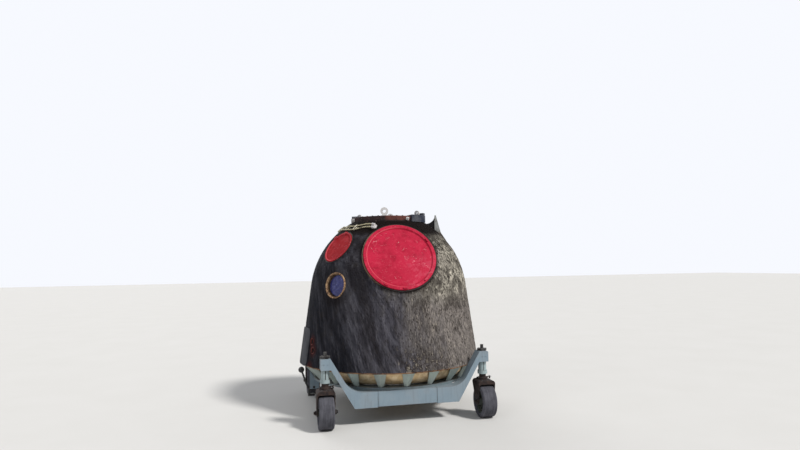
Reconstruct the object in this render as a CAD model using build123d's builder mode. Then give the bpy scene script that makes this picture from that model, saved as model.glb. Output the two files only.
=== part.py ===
"""Bell-shaped crew capsule of a spacecraft on its four-caster transport dolly.

Millimetres. The origin is on the floor below the capsule's axis, +Z up, the dolly's front towards -Y.
Azimuths are degrees round the axis: 0 towards +X, -90 towards the front.
"""
import os
from math import asin, atan2, cos, degrees, pi, radians, sin, sqrt, tan

from build123d import *

os.makedirs("parts", exist_ok=True)

# Dolly beams and the ring that carries the capsule
BEAM_TOP = 355
BEAM_HEIGHT = 167
BEAM_DEPTH = 140
BEAM_MIDDLE_HALF = 330
BEAM_MIDDLE_STEP = 8
ARM_WIDTH = 57
ARM_ANGLE = 59.1
ARM_FILLET = 220
HEAD_INSIDE = 57.5
HEAD_OUTSIDE = 50
HEAD_HEIGHT = 117
HEAD_CORNER = 18
RAIL_INSET = 61
RAIL_WIDTH = 110
RAIL_HEIGHT = 140
RAIL_WALL = 8
RAIL_CORNER = 8
RING_SETBACK = 25
RING_WIDTH = 150
RING_PLATE = 25
BRACKET_COUNT = 20
BRACKET_RISE = 168
BRACKET_TOP_SETBACK = 12
BRACKET_FOOT_SETBACK = 14
BRACKET_TOP_HALF = 74
BRACKET_FOOT_HALF = 32
BRACKET_SHEET = 10

# Hull, outer face: a cone from the edge to the shoulder, then one arc up to the rim
EDGE_BAND = 12
EDGE_BAND_WIDTH = 125
EDGE_HEIGHT = BEAM_TOP + RING_PLATE + BRACKET_RISE + EDGE_BAND
BASE_RADIUS = 1090
CONE_HEIGHT = 925
CONE_HALF_ANGLE = 7.85
DOME_HEIGHT = 740
SEAM_DROP = 185
HULL_WALL = 60
SHOULDER_HEIGHT = EDGE_HEIGHT + CONE_HEIGHT
SEAM_HEIGHT = SHOULDER_HEIGHT - SEAM_DROP
RIM_HEIGHT = SHOULDER_HEIGHT + DOME_HEIGHT

# Bottom dish with the covers of its landing engines, and the cabin floor above it
DISH_ARC_RADIUS = 175
DISH_BOWL_RISE = 12
DISH_WALL = 12
ENGINE_COVER_RADIUS = 130
ENGINE_COVER_CIRCLE = 440
ENGINE_COVER_COUNT = 4
ENGINE_COVER_HEIGHT = 10
FLOOR_LIFT = 40
FLOOR_THICKNESS = 30

# Hatch at the top: ring, sealing land and inward lid
RING_RADIUS = 460
RING_HEIGHT = 70
RING_FLANGE = 40
RING_LIP = 8
RIM_LEDGE = 20
COLLAR_SETBACK = 21
COLLAR_WALL = 24
COLLAR_DEPTH = 65
LID_GAP = 15
LID_SEAT = 40
LID_SEAT_GAP = 5
LID_THICKNESS = 32
LID_LIP = 6
LID_RECESS_RIM = 80
LID_RECESS = 16
LID_HUB_RADIUS = 70
LID_RIB = 14
LID_RIB_HEIGHT = 20
LID_RIB_COUNT = 8
LID_RIB_MARGIN = 50
LAND_WIDTH = 35
LAND_HEIGHT = 4
HINGE_OFFSET = 23
HINGE_DROP = 21
HINGE_PIN_RADIUS = 8
HINGE_KNUCKLE_RADIUS = 17
HINGE_KNUCKLE_LENGTH = 22
HINGE_ARM_LENGTH = 60
HINGE_ARM_ROOT = 24
HINGE_ARM_NECK = 10
HINGE_SIDE_GAP = 5
PIN_CLEARANCE = 1

# Lifting eyes on the ring, and the blocks below the small ones
EYE_INSET = 30
EYE_NECK = 8
LARGE_EYE_RADIUS = 46
LARGE_EYE_BORE = 21.5
LARGE_EYE_THICKNESS = 26
SMALL_EYE_RADIUS = 33
SMALL_EYE_BORE = 15
SMALL_EYE_THICKNESS = 22
BLOCK_DEPTH = 34
BLOCK_REACH = 55
BLOCK_LOW = 14
BLOCK_HIGH = 45
BLOCK_CORNER = 8

# Parachute bays, their places measured down from the rim
MAIN_BAY_DROP = 397
MAIN_LID_RADIUS = 416
MAIN_LID_RIM_WIDTH = 38
MAIN_LID_RIM = 14
MAIN_BAY_SINK = 70
MAIN_BAY_DEPTH = 180
RESERVE_BAY_DROP = 287
RESERVE_LID_RADIUS = 209
RESERVE_LID_RIM_WIDTH = 14
RESERVE_LID_RIM = 8
RESERVE_BAY_SINK = 22
RESERVE_BAY_DEPTH = 150
BAY_WALL = 12
BAY_LID_CLEARANCE = 3
BAY_LID_PLATE = 12
BAY_SEAT = 16
BAY_SEAT_WIDTH = 40
LUG_LENGTH = 46
LUG_WIDTH = 20
LUG_HEIGHT = 14

# Portholes
PORTHOLE_RADIUS = 147
PORTHOLE_RING_WIDTH = 31
PORTHOLE_FLARE = 19
PORTHOLE_PROUD = 8
PORTHOLE_LIP = 4
PORTHOLE_GLASS = 12
PORTHOLE_GLASS_SINK = 38
PORTHOLE_LAND = 10

# Attitude thrusters, in pairs above the edge
THRUSTER_RADIUS = 42
THRUSTER_MOUTH = 34
THRUSTER_THROAT = 12
THRUSTER_PROUD = 4
THRUSTER_CUP = 36
THRUSTER_BACK = 12
THRUSTER_UPPER_RISE = 280
THRUSTER_LOWER_RISE = 185

# Connector fairing on the left flank
FAIRING_AZIMUTH = -173
FAIRING_WIDTH = 400
FAIRING_HEIGHT = 423
FAIRING_OVERHANG = 8
FAIRING_PROUD = 14
FAIRING_CORNER = 70

# Aerial fin on the shoulder: a tapered blade with a thinner web behind it
FIN_AZIMUTH = -21
FIN_RING_GAP = 148
FIN_RISE = 192
FIN_TIP = 18
FIN_FOOT = 66
FIN_KINK = 30
FIN_TAIL = 130
FIN_TAIL_RISE = 4
FIN_THICKNESS = 30
WEB_THICKNESS = 12
WEB_LENGTH = 105
WEB_TOP_DROP = 24
FIN_SINK = 150

# Crew couches
COUCH_WIDTH = 380
COUCH_SHIFT = 450
COUCH_HEADING = 8
COUCH_SHELL = 34
COUCH_SIDE = 30
COUCH_SIDE_RISE = 42
COUCH_BEND = 60
COUCH_LEG = 30
COUCH_LEG_WIDTH = 260

# Hold-down clamps on the ring
CLAMP_PLATE = 12
CLAMP_GAP = 56
CLAMP_OUT = 45
CLAMP_UP = 60
CLAMP_DROP = 119
CLAMP_INSET = 60
CLAMP_BACK_SHIFT = 6
CLAMP_PIN_RADIUS = 9
CLAMP_PIN_RISE = 20
CLAMP_PIN_HEAD = 14
CLAMP_PIN_HEAD_LENGTH = 6
HOOK_OUT = 23
HOOK_WIDTH = 78
HOOK_BAR = 23
HOOK_DROP = 86
HOOK_TAB = 34
HOOK_TAB_SETBACK = 33
HOOK_SIDE_GAP = 1
ROD_RADIUS = 11
CLAMP_KNOB_RADIUS = 36

# Casters: wheel, fork, stem and post
POST_CLEARANCE = 160.2
POST_AZIMUTH = 44.74
WHEEL_RADIUS = 175
TYRE_WIDTH = 160
TYRE_DEPTH = 49
TYRE_EDGE = 16
HUB_WIDTH = 122
HUB_RIM = 14
HUB_WEB = 22
HUB_RIB = 12
HUB_RIB_HEIGHT = 24
HUB_RIB_COUNT = 6
HUB_RIB_OVERLAP = 4
HUB_BOSS_RADIUS = 40
HUB_SIDE_GAP = 7
AXLE_RADIUS = 15
AXLE_NUT_RADIUS = 24
AXLE_NUT = 18
AXLE_STUB = 12
CASTER_TRAIL = 63
FORK_SIDE_GAP = 6
FORK_LEG = 10
FORK_CROWN_GAP = 16
FORK_CROWN = 38
FORK_CORNER = 34
FORK_FRONT = 72
FORK_BACK = 136
FORK_BOSS = 38
FORK_TAPER = 50
LOCK_REACH = 84
LOCK_PIN_RADIUS = 9
LOCK_LEVER_LENGTH = 80
LOCK_LEVER_WIDTH = 22
LOCK_LEVER = 6
RACE_RADIUS = 60
RACE_HEIGHT = 20
NECK_RADIUS = 38
NECK_HEIGHT = 57
SWIVEL_GAP = 5
STEM_RADIUS = 24
STEM_LENGTH = 124
COLLAR_RADIUS = 54
COLLAR_HEIGHT = 38
COLLAR_LIP = 4
SLEEVE_RADIUS = 45
SLEEVE_SHOWN = 135
SLEEVE_SLOT = 8
KNOB_RADIUS = 43
KNOB_HEIGHT = 26
KNOB_LOBE = 13
KNOB_LOBES = 6
KNOB_NUT = 19
KNOB_NUT_HEIGHT = 42

# Riser ropes on the shoulder
ROPE_RADIUS = 8
SOCKET_RADIUS = 13
SOCKET_LENGTH = 44
ANCHOR_LENGTH = 64
ANCHOR_WIDTH = 52
ANCHOR_HEIGHT = 11

# Places that follow from the sizes above
RIM_RADIUS = RING_RADIUS + RIM_LEDGE
DISH_RADIUS = BASE_RADIUS - EDGE_BAND_WIDTH
RING_OUTER = DISH_RADIUS - RING_SETBACK
RING_PLATE_TOP = BEAM_TOP + RING_PLATE
POST_CIRCLE = BASE_RADIUS + POST_CLEARANCE
POST_X = POST_CIRCLE * cos(radians(POST_AZIMUTH))
POST_Y = POST_CIRCLE * sin(radians(POST_AZIMUTH))

# Parachute bays: name, azimuth, height on the hull, lid radius, lid rim's width and rise,
# sink below the hull, depth, lug angles
BAYS = [
    (
        "main", -92.2, RIM_HEIGHT - MAIN_BAY_DROP, MAIN_LID_RADIUS, MAIN_LID_RIM_WIDTH, MAIN_LID_RIM,
        MAIN_BAY_SINK, MAIN_BAY_DEPTH, (-118, -87, -48, 32),
    ),
    (
        "reserve", -151.5, RIM_HEIGHT - RESERVE_BAY_DROP, RESERVE_LID_RADIUS, RESERVE_LID_RIM_WIDTH,
        RESERVE_LID_RIM, RESERVE_BAY_SINK, RESERVE_BAY_DEPTH, (84, 138),
    ),
]

# Portholes: name, azimuth
PORTHOLES = [("left", -140.4), ("rear", 39.6)]

# Thrusters: pair, azimuth, height
THRUSTERS = [
    ("left", -159.6, EDGE_HEIGHT + THRUSTER_UPPER_RISE),
    ("left", -157.2, EDGE_HEIGHT + THRUSTER_LOWER_RISE),
    ("rear", 20.4, EDGE_HEIGHT + THRUSTER_UPPER_RISE),
    ("rear", 22.8, EDGE_HEIGHT + THRUSTER_LOWER_RISE),
]

# Lifting eyes: azimuth, turn of the bore from the radius, eye radius, bore radius, thickness
LIFTING_EYES = [
    (-107, 0, LARGE_EYE_RADIUS, LARGE_EYE_BORE, LARGE_EYE_THICKNESS),
    (73, 0, LARGE_EYE_RADIUS, LARGE_EYE_BORE, LARGE_EYE_THICKNESS),
    (-44, 90, SMALL_EYE_RADIUS, SMALL_EYE_BORE, SMALL_EYE_THICKNESS),
    (136, 90, SMALL_EYE_RADIUS, SMALL_EYE_BORE, SMALL_EYE_THICKNESS),
]

# Block round a small eye: azimuths from the eye's, reach in over the ring, heights from the ring's top
BLOCK_STEPS = [
    (-21, 15, 0, -RING_HEIGHT, BLOCK_LOW),
    (-19, 13, BLOCK_REACH, 0, BLOCK_LOW),
    (5.5, 13, BLOCK_REACH, 0, BLOCK_HIGH),
]

# Couches: name, heading, sideways shift; and where the sitter lies: along, above the floor
COUCHES = [("left", COUCH_HEADING, -COUCH_SHIFT), ("middle", 0, 0), ("right", -COUCH_HEADING, COUCH_SHIFT)]
COUCH_LINE = [(-330, 250), (-230, 150), (-90, 100), (130, 92), (320, 306)]
COUCH_LEG_PLACES = [(-200, 110), (90, 62)]

# Couch shell and its two side rims: rise, middle and half width across
COUCH_LAYERS = [
    (0, 0, COUCH_WIDTH / 2),
    (COUCH_SIDE_RISE, (COUCH_WIDTH - COUCH_SIDE) / 2, COUCH_SIDE / 2),
    (COUCH_SIDE_RISE, (COUCH_SIDE - COUCH_WIDTH) / 2, COUCH_SIDE / 2),
]

# Clamp rod: distance out from the hook's outer face, height above the clamp's foot
ROD_ROUTE = [(-12, -11), (24, 64), (72, 204)]

# Casters: name, x, y
CASTERS = [
    ("front_left", -POST_X, -POST_Y),
    ("front_right", POST_X, -POST_Y),
    ("rear_left", -POST_X, POST_Y),
    ("rear_right", POST_X, POST_Y),
]

# Riser ropes, read off the photograph: azimuth, drop below the rim, distance of the middle line from the hull
ROPES = {
    "upper": [
        (-120, 57, 26), (-126.5, 38, 15), (-136, 51, 12), (-146, 61, 13), (-156, 55, 12),
        (-166, 62, 13), (-176, 55, 12), (-187, 65, 13), (-198, 57, 15), (-205.5, 61, 26),
    ],
    "lower": [
        (-119.5, 91, 26), (-126, 72, 14), (-135, 90, 12), (-144, 104, 13), (-154, 95, 12),
        (-164, 91, 13), (-174, 86, 12), (-185, 97, 13), (-197, 105, 15), (-204.5, 99, 26),
    ],
}
# Rope anchors: azimuth, drop below the rim
ROPE_ANCHORS = [(-117.2, 74), (-208.4, 80)]


# One arc, tangent to the cone at the shoulder, that ends at the rim
SHOULDER_RADIUS = BASE_RADIUS - CONE_HEIGHT * tan(radians(CONE_HALF_ANGLE))
RIM_INSET = SHOULDER_RADIUS - RIM_RADIUS
ARC_REACH = RIM_INSET * cos(radians(CONE_HALF_ANGLE)) - DOME_HEIGHT * sin(radians(CONE_HALF_ANGLE))
SHOULDER_ARC_RADIUS = (RIM_INSET**2 + DOME_HEIGHT**2) / (2 * ARC_REACH)
SHOULDER_CENTRE = (
    SHOULDER_RADIUS - SHOULDER_ARC_RADIUS * cos(radians(CONE_HALF_ANGLE)),
    SHOULDER_HEIGHT - SHOULDER_ARC_RADIUS * sin(radians(CONE_HALF_ANGLE)),
)


def shoulder_start(inset=0):
    """Height where the cone runs into the shoulder's arc."""
    return SHOULDER_CENTRE[1] + (SHOULDER_ARC_RADIUS - inset) * sin(radians(CONE_HALF_ANGLE))


def hull_radius(height, inset=0):
    """Radius of the hull at a height, with the wall taken in by inset."""
    slope = radians(CONE_HALF_ANGLE)
    if height <= shoulder_start(inset):
        return BASE_RADIUS - (height - EDGE_HEIGHT) * tan(slope) - inset / cos(slope)
    rise = height - SHOULDER_CENTRE[1]
    return SHOULDER_CENTRE[0] + sqrt(max((SHOULDER_ARC_RADIUS - inset) ** 2 - rise**2, 0))


def arc_angle(height, inset):
    """Angle of a place on the shoulder's arc, seen from its centre."""
    return degrees(atan2(height - SHOULDER_CENTRE[1], hull_radius(height, inset) - SHOULDER_CENTRE[0]))


def arc_end(inset):
    """Height where the shoulder's arc would end, at its crown or at the axis."""
    return SHOULDER_CENTRE[1] + sqrt((SHOULDER_ARC_RADIUS - inset) ** 2 - min(SHOULDER_CENTRE[0], 0) ** 2)


def dome_height(radius):
    """Height of the shoulder's outer face at a radius."""
    return SHOULDER_CENTRE[1] + sqrt(SHOULDER_ARC_RADIUS**2 - (radius - SHOULDER_CENTRE[0]) ** 2)


def hull_slope(height):
    """Angle of the hull's outward normal above the horizon."""
    if height <= SHOULDER_HEIGHT:
        return CONE_HALF_ANGLE
    return degrees(asin((height - SHOULDER_CENTRE[1]) / SHOULDER_ARC_RADIUS))


def hull_plane(azimuth, height, lift=0):
    """Plane on the hull's outer face, its normal outward, lifted along that normal."""
    turn = radians(azimuth)
    slope = radians(hull_slope(height))
    radius = hull_radius(height)
    normal = Vector(cos(turn) * cos(slope), sin(turn) * cos(slope), sin(slope))
    foot = Vector(radius * cos(turn), radius * sin(turn), height)
    return Plane(origin=foot + normal * lift, x_dir=(-sin(turn), cos(turn), 0), z_dir=normal)


def profile_plane(seat):
    """Plane that holds a turned profile: its x is a radius and its y runs along the seat's normal."""
    return Plane(origin=seat.origin, x_dir=seat.x_dir, z_dir=seat.y_dir * -1)


def radial_plane(azimuth):
    """Upright plane through the axis: its x is a radius and its y the height."""
    turn = radians(azimuth)
    return Plane(origin=(0, 0, 0), x_dir=(cos(turn), sin(turn), 0), z_dir=(sin(turn), -cos(turn), 0))


def hull_region(inset, low, high):
    """Half section from the axis to the hull, between two heights."""
    arc_radius = SHOULDER_ARC_RADIUS - inset
    bend = shoulder_start(inset)
    top = min(high, arc_end(inset))
    with BuildSketch(mode=Mode.PRIVATE) as region:
        with BuildLine():
            Line((0, low), (hull_radius(low, inset), low))
            if low < bend:
                cone_top = min(bend, top)
                Line((hull_radius(low, inset), low), (hull_radius(cone_top, inset), cone_top))
            if top > bend:
                first = arc_angle(max(low, bend), inset)
                CenterArc(SHOULDER_CENTRE, arc_radius, first, arc_angle(top, inset) - first)
            Polyline((hull_radius(top, inset), top), (0, top), (0, low))
        make_face()
    return region.sketch


def hull_openings():
    """What the bays, portholes and thrusters take out of the hull."""
    bores = [(az, z, radius + BAY_LID_CLEARANCE + BAY_WALL) for _, az, z, radius, *_ in BAYS]
    bores += [(az, SHOULDER_HEIGHT, PORTHOLE_RADIUS) for _, az in PORTHOLES]
    bores += [(az, z, THRUSTER_RADIUS) for _, az, z in THRUSTERS]
    with BuildPart(mode=Mode.PRIVATE) as openings:
        for azimuth, height, radius in bores:
            with BuildSketch(hull_plane(azimuth, height)):
                Circle(radius)
            extrude(amount=3 * HULL_WALL, both=True)
    return openings.part


# Hull in two courses that meet at the seam
with BuildPart() as hull_lower:
    with BuildSketch(Plane.XZ):
        add(hull_region(0, EDGE_HEIGHT, SEAM_HEIGHT))
    revolve(axis=Axis.Z)
    with BuildSketch(Plane.XZ):
        add(hull_region(HULL_WALL, EDGE_HEIGHT, SEAM_HEIGHT))
    revolve(axis=Axis.Z, mode=Mode.SUBTRACT)
    add(hull_openings(), mode=Mode.SUBTRACT)
hull_lower.part.label = "hull_lower"
export_step(hull_lower.part, "parts/hull_lower.step")

COLLAR_OUTER = RING_RADIUS - COLLAR_SETBACK
with BuildPart() as hull_shoulder:
    with BuildSketch(Plane.XZ):
        add(hull_region(0, SEAM_HEIGHT, RIM_HEIGHT))
    revolve(axis=Axis.Z)
    with BuildSketch(Plane.XZ):
        add(hull_region(HULL_WALL, SEAM_HEIGHT, RIM_HEIGHT))
    revolve(axis=Axis.Z, mode=Mode.SUBTRACT)
    with BuildSketch(Plane.XY.offset(RIM_HEIGHT)):
        Circle(COLLAR_OUTER)
    extrude(amount=-2 * HULL_WALL, mode=Mode.SUBTRACT)
    add(hull_openings(), mode=Mode.SUBTRACT)
hull_shoulder.part.label = "hull_shoulder"
export_step(hull_shoulder.part, "parts/hull_shoulder.step")

with BuildPart() as hull_edge:
    with BuildSketch(Plane.XY.offset(EDGE_HEIGHT - EDGE_BAND)):
        Circle(BASE_RADIUS)
        Circle(DISH_RADIUS, mode=Mode.SUBTRACT)
    extrude(amount=EDGE_BAND)
    fillet(hull_edge.edges().group_by(Axis.Z)[0].sort_by(SortBy.RADIUS)[-1], EDGE_BAND / 2)
hull_edge.part.label = "hull_edge"
export_step(hull_edge.part, "parts/hull_edge.step")

# Bottom dish: a tight arc at the edge runs into a shallow bowl, tangent to it
DISH_ARC_CENTRE = DISH_RADIUS - DISH_ARC_RADIUS
DISH_DEPTH = DISH_ARC_RADIUS + DISH_BOWL_RISE
BOWL_RADIUS = (DISH_ARC_CENTRE**2 + DISH_DEPTH**2 - DISH_ARC_RADIUS**2) / (2 * DISH_BOWL_RISE)
BOWL_HALF_ANGLE = degrees(asin(DISH_ARC_CENTRE / (BOWL_RADIUS - DISH_ARC_RADIUS)))
DISH_BOTTOM = EDGE_HEIGHT - DISH_DEPTH


def dish_region(inset):
    """Half section of the dish, its face taken in by inset."""
    with BuildSketch(mode=Mode.PRIVATE) as region:
        with BuildLine():
            Line((0, EDGE_HEIGHT), (DISH_RADIUS - inset, EDGE_HEIGHT))
            CenterArc((DISH_ARC_CENTRE, EDGE_HEIGHT), DISH_ARC_RADIUS - inset, 0, BOWL_HALF_ANGLE - 90)
            CenterArc((0, DISH_BOTTOM + BOWL_RADIUS), BOWL_RADIUS - inset, -90, BOWL_HALF_ANGLE)
            Line((0, DISH_BOTTOM + inset), (0, EDGE_HEIGHT))
        make_face()
    return region.sketch


with BuildPart() as bottom_dish:
    with BuildSketch(Plane.XZ):
        add(dish_region(0))
    revolve(axis=Axis.Z)
    with BuildSketch(Plane.XZ):
        add(dish_region(DISH_WALL))
    revolve(axis=Axis.Z, mode=Mode.SUBTRACT)
bottom_dish.part.label = "bottom_dish"
export_step(bottom_dish.part, "parts/bottom_dish.step")

with BuildPart() as engine_covers:
    with BuildSketch(Plane.XY.offset(DISH_BOTTOM - ENGINE_COVER_HEIGHT)):
        with PolarLocations(ENGINE_COVER_CIRCLE, ENGINE_COVER_COUNT, start_angle=45):
            Circle(ENGINE_COVER_RADIUS)
    extrude(amount=ENGINE_COVER_HEIGHT + DISH_BOWL_RISE)
    with BuildSketch(Plane.XZ):
        add(dish_region(0))
    revolve(axis=Axis.Z, mode=Mode.SUBTRACT)
engine_covers.part.label = "engine_covers"
export_step(engine_covers.part, "parts/engine_covers.step")

FLOOR_HEIGHT = EDGE_HEIGHT + FLOOR_LIFT
FLOOR_TOP = FLOOR_HEIGHT + FLOOR_THICKNESS
with BuildPart() as cabin_floor:
    with BuildSketch(Plane.XZ):
        add(hull_region(HULL_WALL, FLOOR_HEIGHT, FLOOR_TOP))
    revolve(axis=Axis.Z)
cabin_floor.part.label = "cabin_floor"
export_step(cabin_floor.part, "parts/cabin_floor.step")

# Hatch ring: a flange with a sealing land on top, and a collar that reaches into the hull
RING_TOP = RIM_HEIGHT + RING_HEIGHT
FLANGE_UNDERSIDE = RING_TOP - RING_FLANGE
LID_BORE = COLLAR_OUTER - COLLAR_WALL
LID_RADIUS = LID_BORE - LID_GAP
HATCH_CLEAR_RADIUS = LID_RADIUS - LID_SEAT
COLLAR_FOOT = RIM_HEIGHT - COLLAR_DEPTH
LID_TOP = FLANGE_UNDERSIDE - LID_SEAT_GAP
LID_UNDERSIDE = LID_TOP - LID_THICKNESS
HINGE_REACH = LID_BORE + HINGE_OFFSET
HINGE_HEIGHT = COLLAR_FOOT - HINGE_DROP
KNUCKLE_MIDDLE = HINGE_ARM_LENGTH / 2 + HINGE_SIDE_GAP + HINGE_KNUCKLE_LENGTH / 2
with BuildPart() as hatch_ring:
    with BuildSketch(Plane.XZ) as ring_section:
        with BuildLine():
            Polyline(
                (HATCH_CLEAR_RADIUS, RING_TOP + LAND_HEIGHT),
                (HATCH_CLEAR_RADIUS + LAND_WIDTH, RING_TOP + LAND_HEIGHT),
                (HATCH_CLEAR_RADIUS + LAND_WIDTH, RING_TOP),
                (RING_RADIUS, RING_TOP),
                (RING_RADIUS, RIM_HEIGHT),
                (COLLAR_OUTER, RIM_HEIGHT),
                (COLLAR_OUTER, COLLAR_FOOT),
                (LID_BORE, COLLAR_FOOT),
                (LID_BORE, FLANGE_UNDERSIDE),
                (HATCH_CLEAR_RADIUS, FLANGE_UNDERSIDE),
                close=True,
            )
        make_face()
        lip = ring_section.vertices().sort_by_distance((RING_RADIUS, RING_TOP, 0))[0]
        fillet(lip, RING_LIP)
    revolve(axis=Axis.Z)
    for side in (-1, 1):
        with BuildSketch(Plane.YZ.offset(side * KNUCKLE_MIDDLE)):
            with Locations((HINGE_REACH, HINGE_HEIGHT)):
                Circle(HINGE_KNUCKLE_RADIUS)
            with Locations((LID_BORE + COLLAR_WALL / 2, COLLAR_FOOT + 1)):
                Rectangle(COLLAR_WALL, 2)
            make_hull()
        extrude(amount=HINGE_KNUCKLE_LENGTH / 2, both=True)
    with BuildSketch(Plane.YZ.offset(-KNUCKLE_MIDDLE)):
        with Locations((HINGE_REACH, HINGE_HEIGHT)):
            Circle(HINGE_PIN_RADIUS)
    extrude(amount=2 * KNUCKLE_MIDDLE)
hatch_ring.part.label = "hatch_ring"
export_step(hatch_ring.part, "parts/hatch_ring.step")

# Hatch lid: a dished plate, ribbed below, on the arm of its hinge
RIB_REACH = LID_RADIUS - LID_RIB_MARGIN
ARM_TOP = HINGE_HEIGHT + HINGE_KNUCKLE_RADIUS
ARM_FOOT = HINGE_HEIGHT - HINGE_KNUCKLE_RADIUS
with BuildPart() as hatch_lid:
    with BuildSketch(Plane.XY.offset(LID_UNDERSIDE)):
        Circle(LID_RADIUS)
    extrude(amount=LID_THICKNESS)
    fillet(hatch_lid.edges().filter_by(GeomType.CIRCLE), LID_LIP)
    with BuildSketch(Plane.XY.offset(LID_TOP)):
        Circle(LID_RADIUS - LID_RECESS_RIM)
    extrude(amount=-LID_RECESS, taper=20, mode=Mode.SUBTRACT)
    with BuildSketch(Plane.XY.offset(LID_UNDERSIDE - LID_RIB_HEIGHT)):
        Circle(LID_HUB_RADIUS)
        with PolarLocations(RIB_REACH / 2, LID_RIB_COUNT, start_angle=0):
            Rectangle(RIB_REACH, LID_RIB)
    extrude(amount=LID_RIB_HEIGHT)
    with BuildSketch(Plane.YZ):
        with BuildLine():
            FilletPolyline(
                (LID_RADIUS - 2 * LID_RECESS_RIM, LID_UNDERSIDE + 2),
                (LID_RADIUS - HINGE_ARM_ROOT, LID_UNDERSIDE + 2),
                (LID_RADIUS - HINGE_ARM_NECK, ARM_TOP),
                (HINGE_REACH, ARM_TOP),
                (HINGE_REACH, ARM_FOOT),
                (LID_RADIUS - LID_RECESS_RIM, ARM_FOOT),
                close=True,
                radius=3,
            )
        make_face()
        with Locations((HINGE_REACH, HINGE_HEIGHT)):
            Circle(HINGE_KNUCKLE_RADIUS)
    extrude(amount=HINGE_ARM_LENGTH / 2, both=True)
    with BuildSketch(Plane.YZ):
        with Locations((HINGE_REACH, HINGE_HEIGHT)):
            Circle(HINGE_PIN_RADIUS + PIN_CLEARANCE)
    extrude(amount=HINGE_ARM_LENGTH, both=True, mode=Mode.SUBTRACT)
hatch_lid.part.label = "hatch_lid"
export_step(hatch_lid.part, "parts/hatch_lid.step")

# Parachute bays: a tube with a seat and a bottom, and the lid that drops into it
for name, azimuth, height, lid_radius, rim_width, rim, sink, depth, lug_angles in BAYS:
    seat = hull_plane(azimuth, height, -sink)
    spin = Axis(seat.origin, seat.z_dir)
    bore = lid_radius + BAY_LID_CLEARANCE
    lid_foot = -BAY_LID_PLATE
    with BuildPart() as bay:
        with BuildSketch(profile_plane(seat)):
            with BuildLine():
                Polyline(
                    (bore, 0),
                    (bore + BAY_WALL, 0),
                    (bore + BAY_WALL, -depth),
                    (0, -depth),
                    (0, BAY_WALL - depth),
                    (bore, BAY_WALL - depth),
                    (bore, lid_foot - BAY_SEAT),
                    (bore - BAY_SEAT_WIDTH, lid_foot - BAY_SEAT),
                    (bore - BAY_SEAT_WIDTH, lid_foot),
                    (bore, lid_foot),
                    close=True,
                )
            make_face()
        revolve(axis=spin)
    bay.part.label = f"{name}_parachute_bay"
    export_step(bay.part, f"parts/{name}_parachute_bay.step")

    flange_middle = lid_radius - max(rim_width, LUG_WIDTH) / 2
    with BuildPart() as bay_lid:
        with BuildSketch(profile_plane(seat)):
            with BuildLine():
                FilletPolyline(
                    (0, lid_foot),
                    (lid_radius, lid_foot),
                    (lid_radius, rim),
                    (lid_radius - rim_width, rim),
                    (lid_radius - rim_width - rim, 0),
                    (0, 0),
                    radius=3,
                )
                Line((0, 0), (0, lid_foot))
            make_face()
        revolve(axis=spin)
        for angle in lug_angles:
            lug_place = (flange_middle * cos(radians(angle)), flange_middle * sin(radians(angle)))
            with BuildSketch(seat.offset(rim)):
                with Locations(Location((*lug_place, 0), (0, 0, angle + 90))):
                    RectangleRounded(LUG_LENGTH, LUG_WIDTH, LUG_WIDTH / 3)
            extrude(amount=LUG_HEIGHT)
    bay_lid.part.label = f"{name}_parachute_lid"
    export_step(bay_lid.part, f"parts/{name}_parachute_lid.step")

# Portholes: a thick ring through the wall with the pane sunk in it
PANE_RADIUS = PORTHOLE_RADIUS - PORTHOLE_RING_WIDTH
PANE_TOP = -PORTHOLE_GLASS_SINK
PANE_FOOT = PANE_TOP - PORTHOLE_GLASS
for name, azimuth in PORTHOLES:
    seat = hull_plane(azimuth, SHOULDER_HEIGHT)
    spin = Axis(seat.origin, seat.z_dir)
    with BuildPart() as porthole_ring:
        with BuildSketch(profile_plane(seat)):
            with BuildLine():
                Polyline(
                    (PORTHOLE_RADIUS, -HULL_WALL),
                    (PORTHOLE_RADIUS, PORTHOLE_PROUD),
                    (PANE_RADIUS + PORTHOLE_FLARE, PORTHOLE_PROUD),
                    (PANE_RADIUS, PANE_TOP),
                    (PANE_RADIUS, PANE_FOOT),
                    (PANE_RADIUS - PORTHOLE_LAND, PANE_FOOT),
                    (PANE_RADIUS - PORTHOLE_LAND, -HULL_WALL),
                    close=True,
                )
            make_face()
        revolve(axis=spin)
        fillet(porthole_ring.edges().filter_by(GeomType.CIRCLE).group_by(spin)[-1], PORTHOLE_LIP)
    porthole_ring.part.label = f"porthole_ring_{name}"
    export_step(porthole_ring.part, f"parts/porthole_ring_{name}.step")

    with BuildPart() as porthole_glass:
        with BuildSketch(hull_plane(azimuth, SHOULDER_HEIGHT, PANE_FOOT)):
            Circle(PANE_RADIUS)
        extrude(amount=PORTHOLE_GLASS)
    porthole_glass.part.label = f"porthole_glass_{name}"
    export_step(porthole_glass.part, f"parts/porthole_glass_{name}.step")

# Thrusters: flared cups in pairs
for pair in ("left", "rear"):
    with BuildPart() as thrusters:
        for _, azimuth, height in [row for row in THRUSTERS if row[0] == pair]:
            seat = hull_plane(azimuth, height)
            with BuildSketch(profile_plane(seat)):
                with BuildLine():
                    Polyline(
                        (THRUSTER_THROAT, -THRUSTER_CUP),
                        (THRUSTER_MOUTH, THRUSTER_PROUD),
                        (THRUSTER_RADIUS, THRUSTER_PROUD),
                        (THRUSTER_RADIUS, -THRUSTER_CUP - THRUSTER_BACK),
                        (0, -THRUSTER_CUP - THRUSTER_BACK),
                        (0, -THRUSTER_CUP),
                        close=True,
                    )
                make_face()
            revolve(axis=Axis(seat.origin, seat.z_dir))
    thrusters.part.label = f"thrusters_{pair}"
    export_step(thrusters.part, f"parts/thrusters_{pair}.step")

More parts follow.
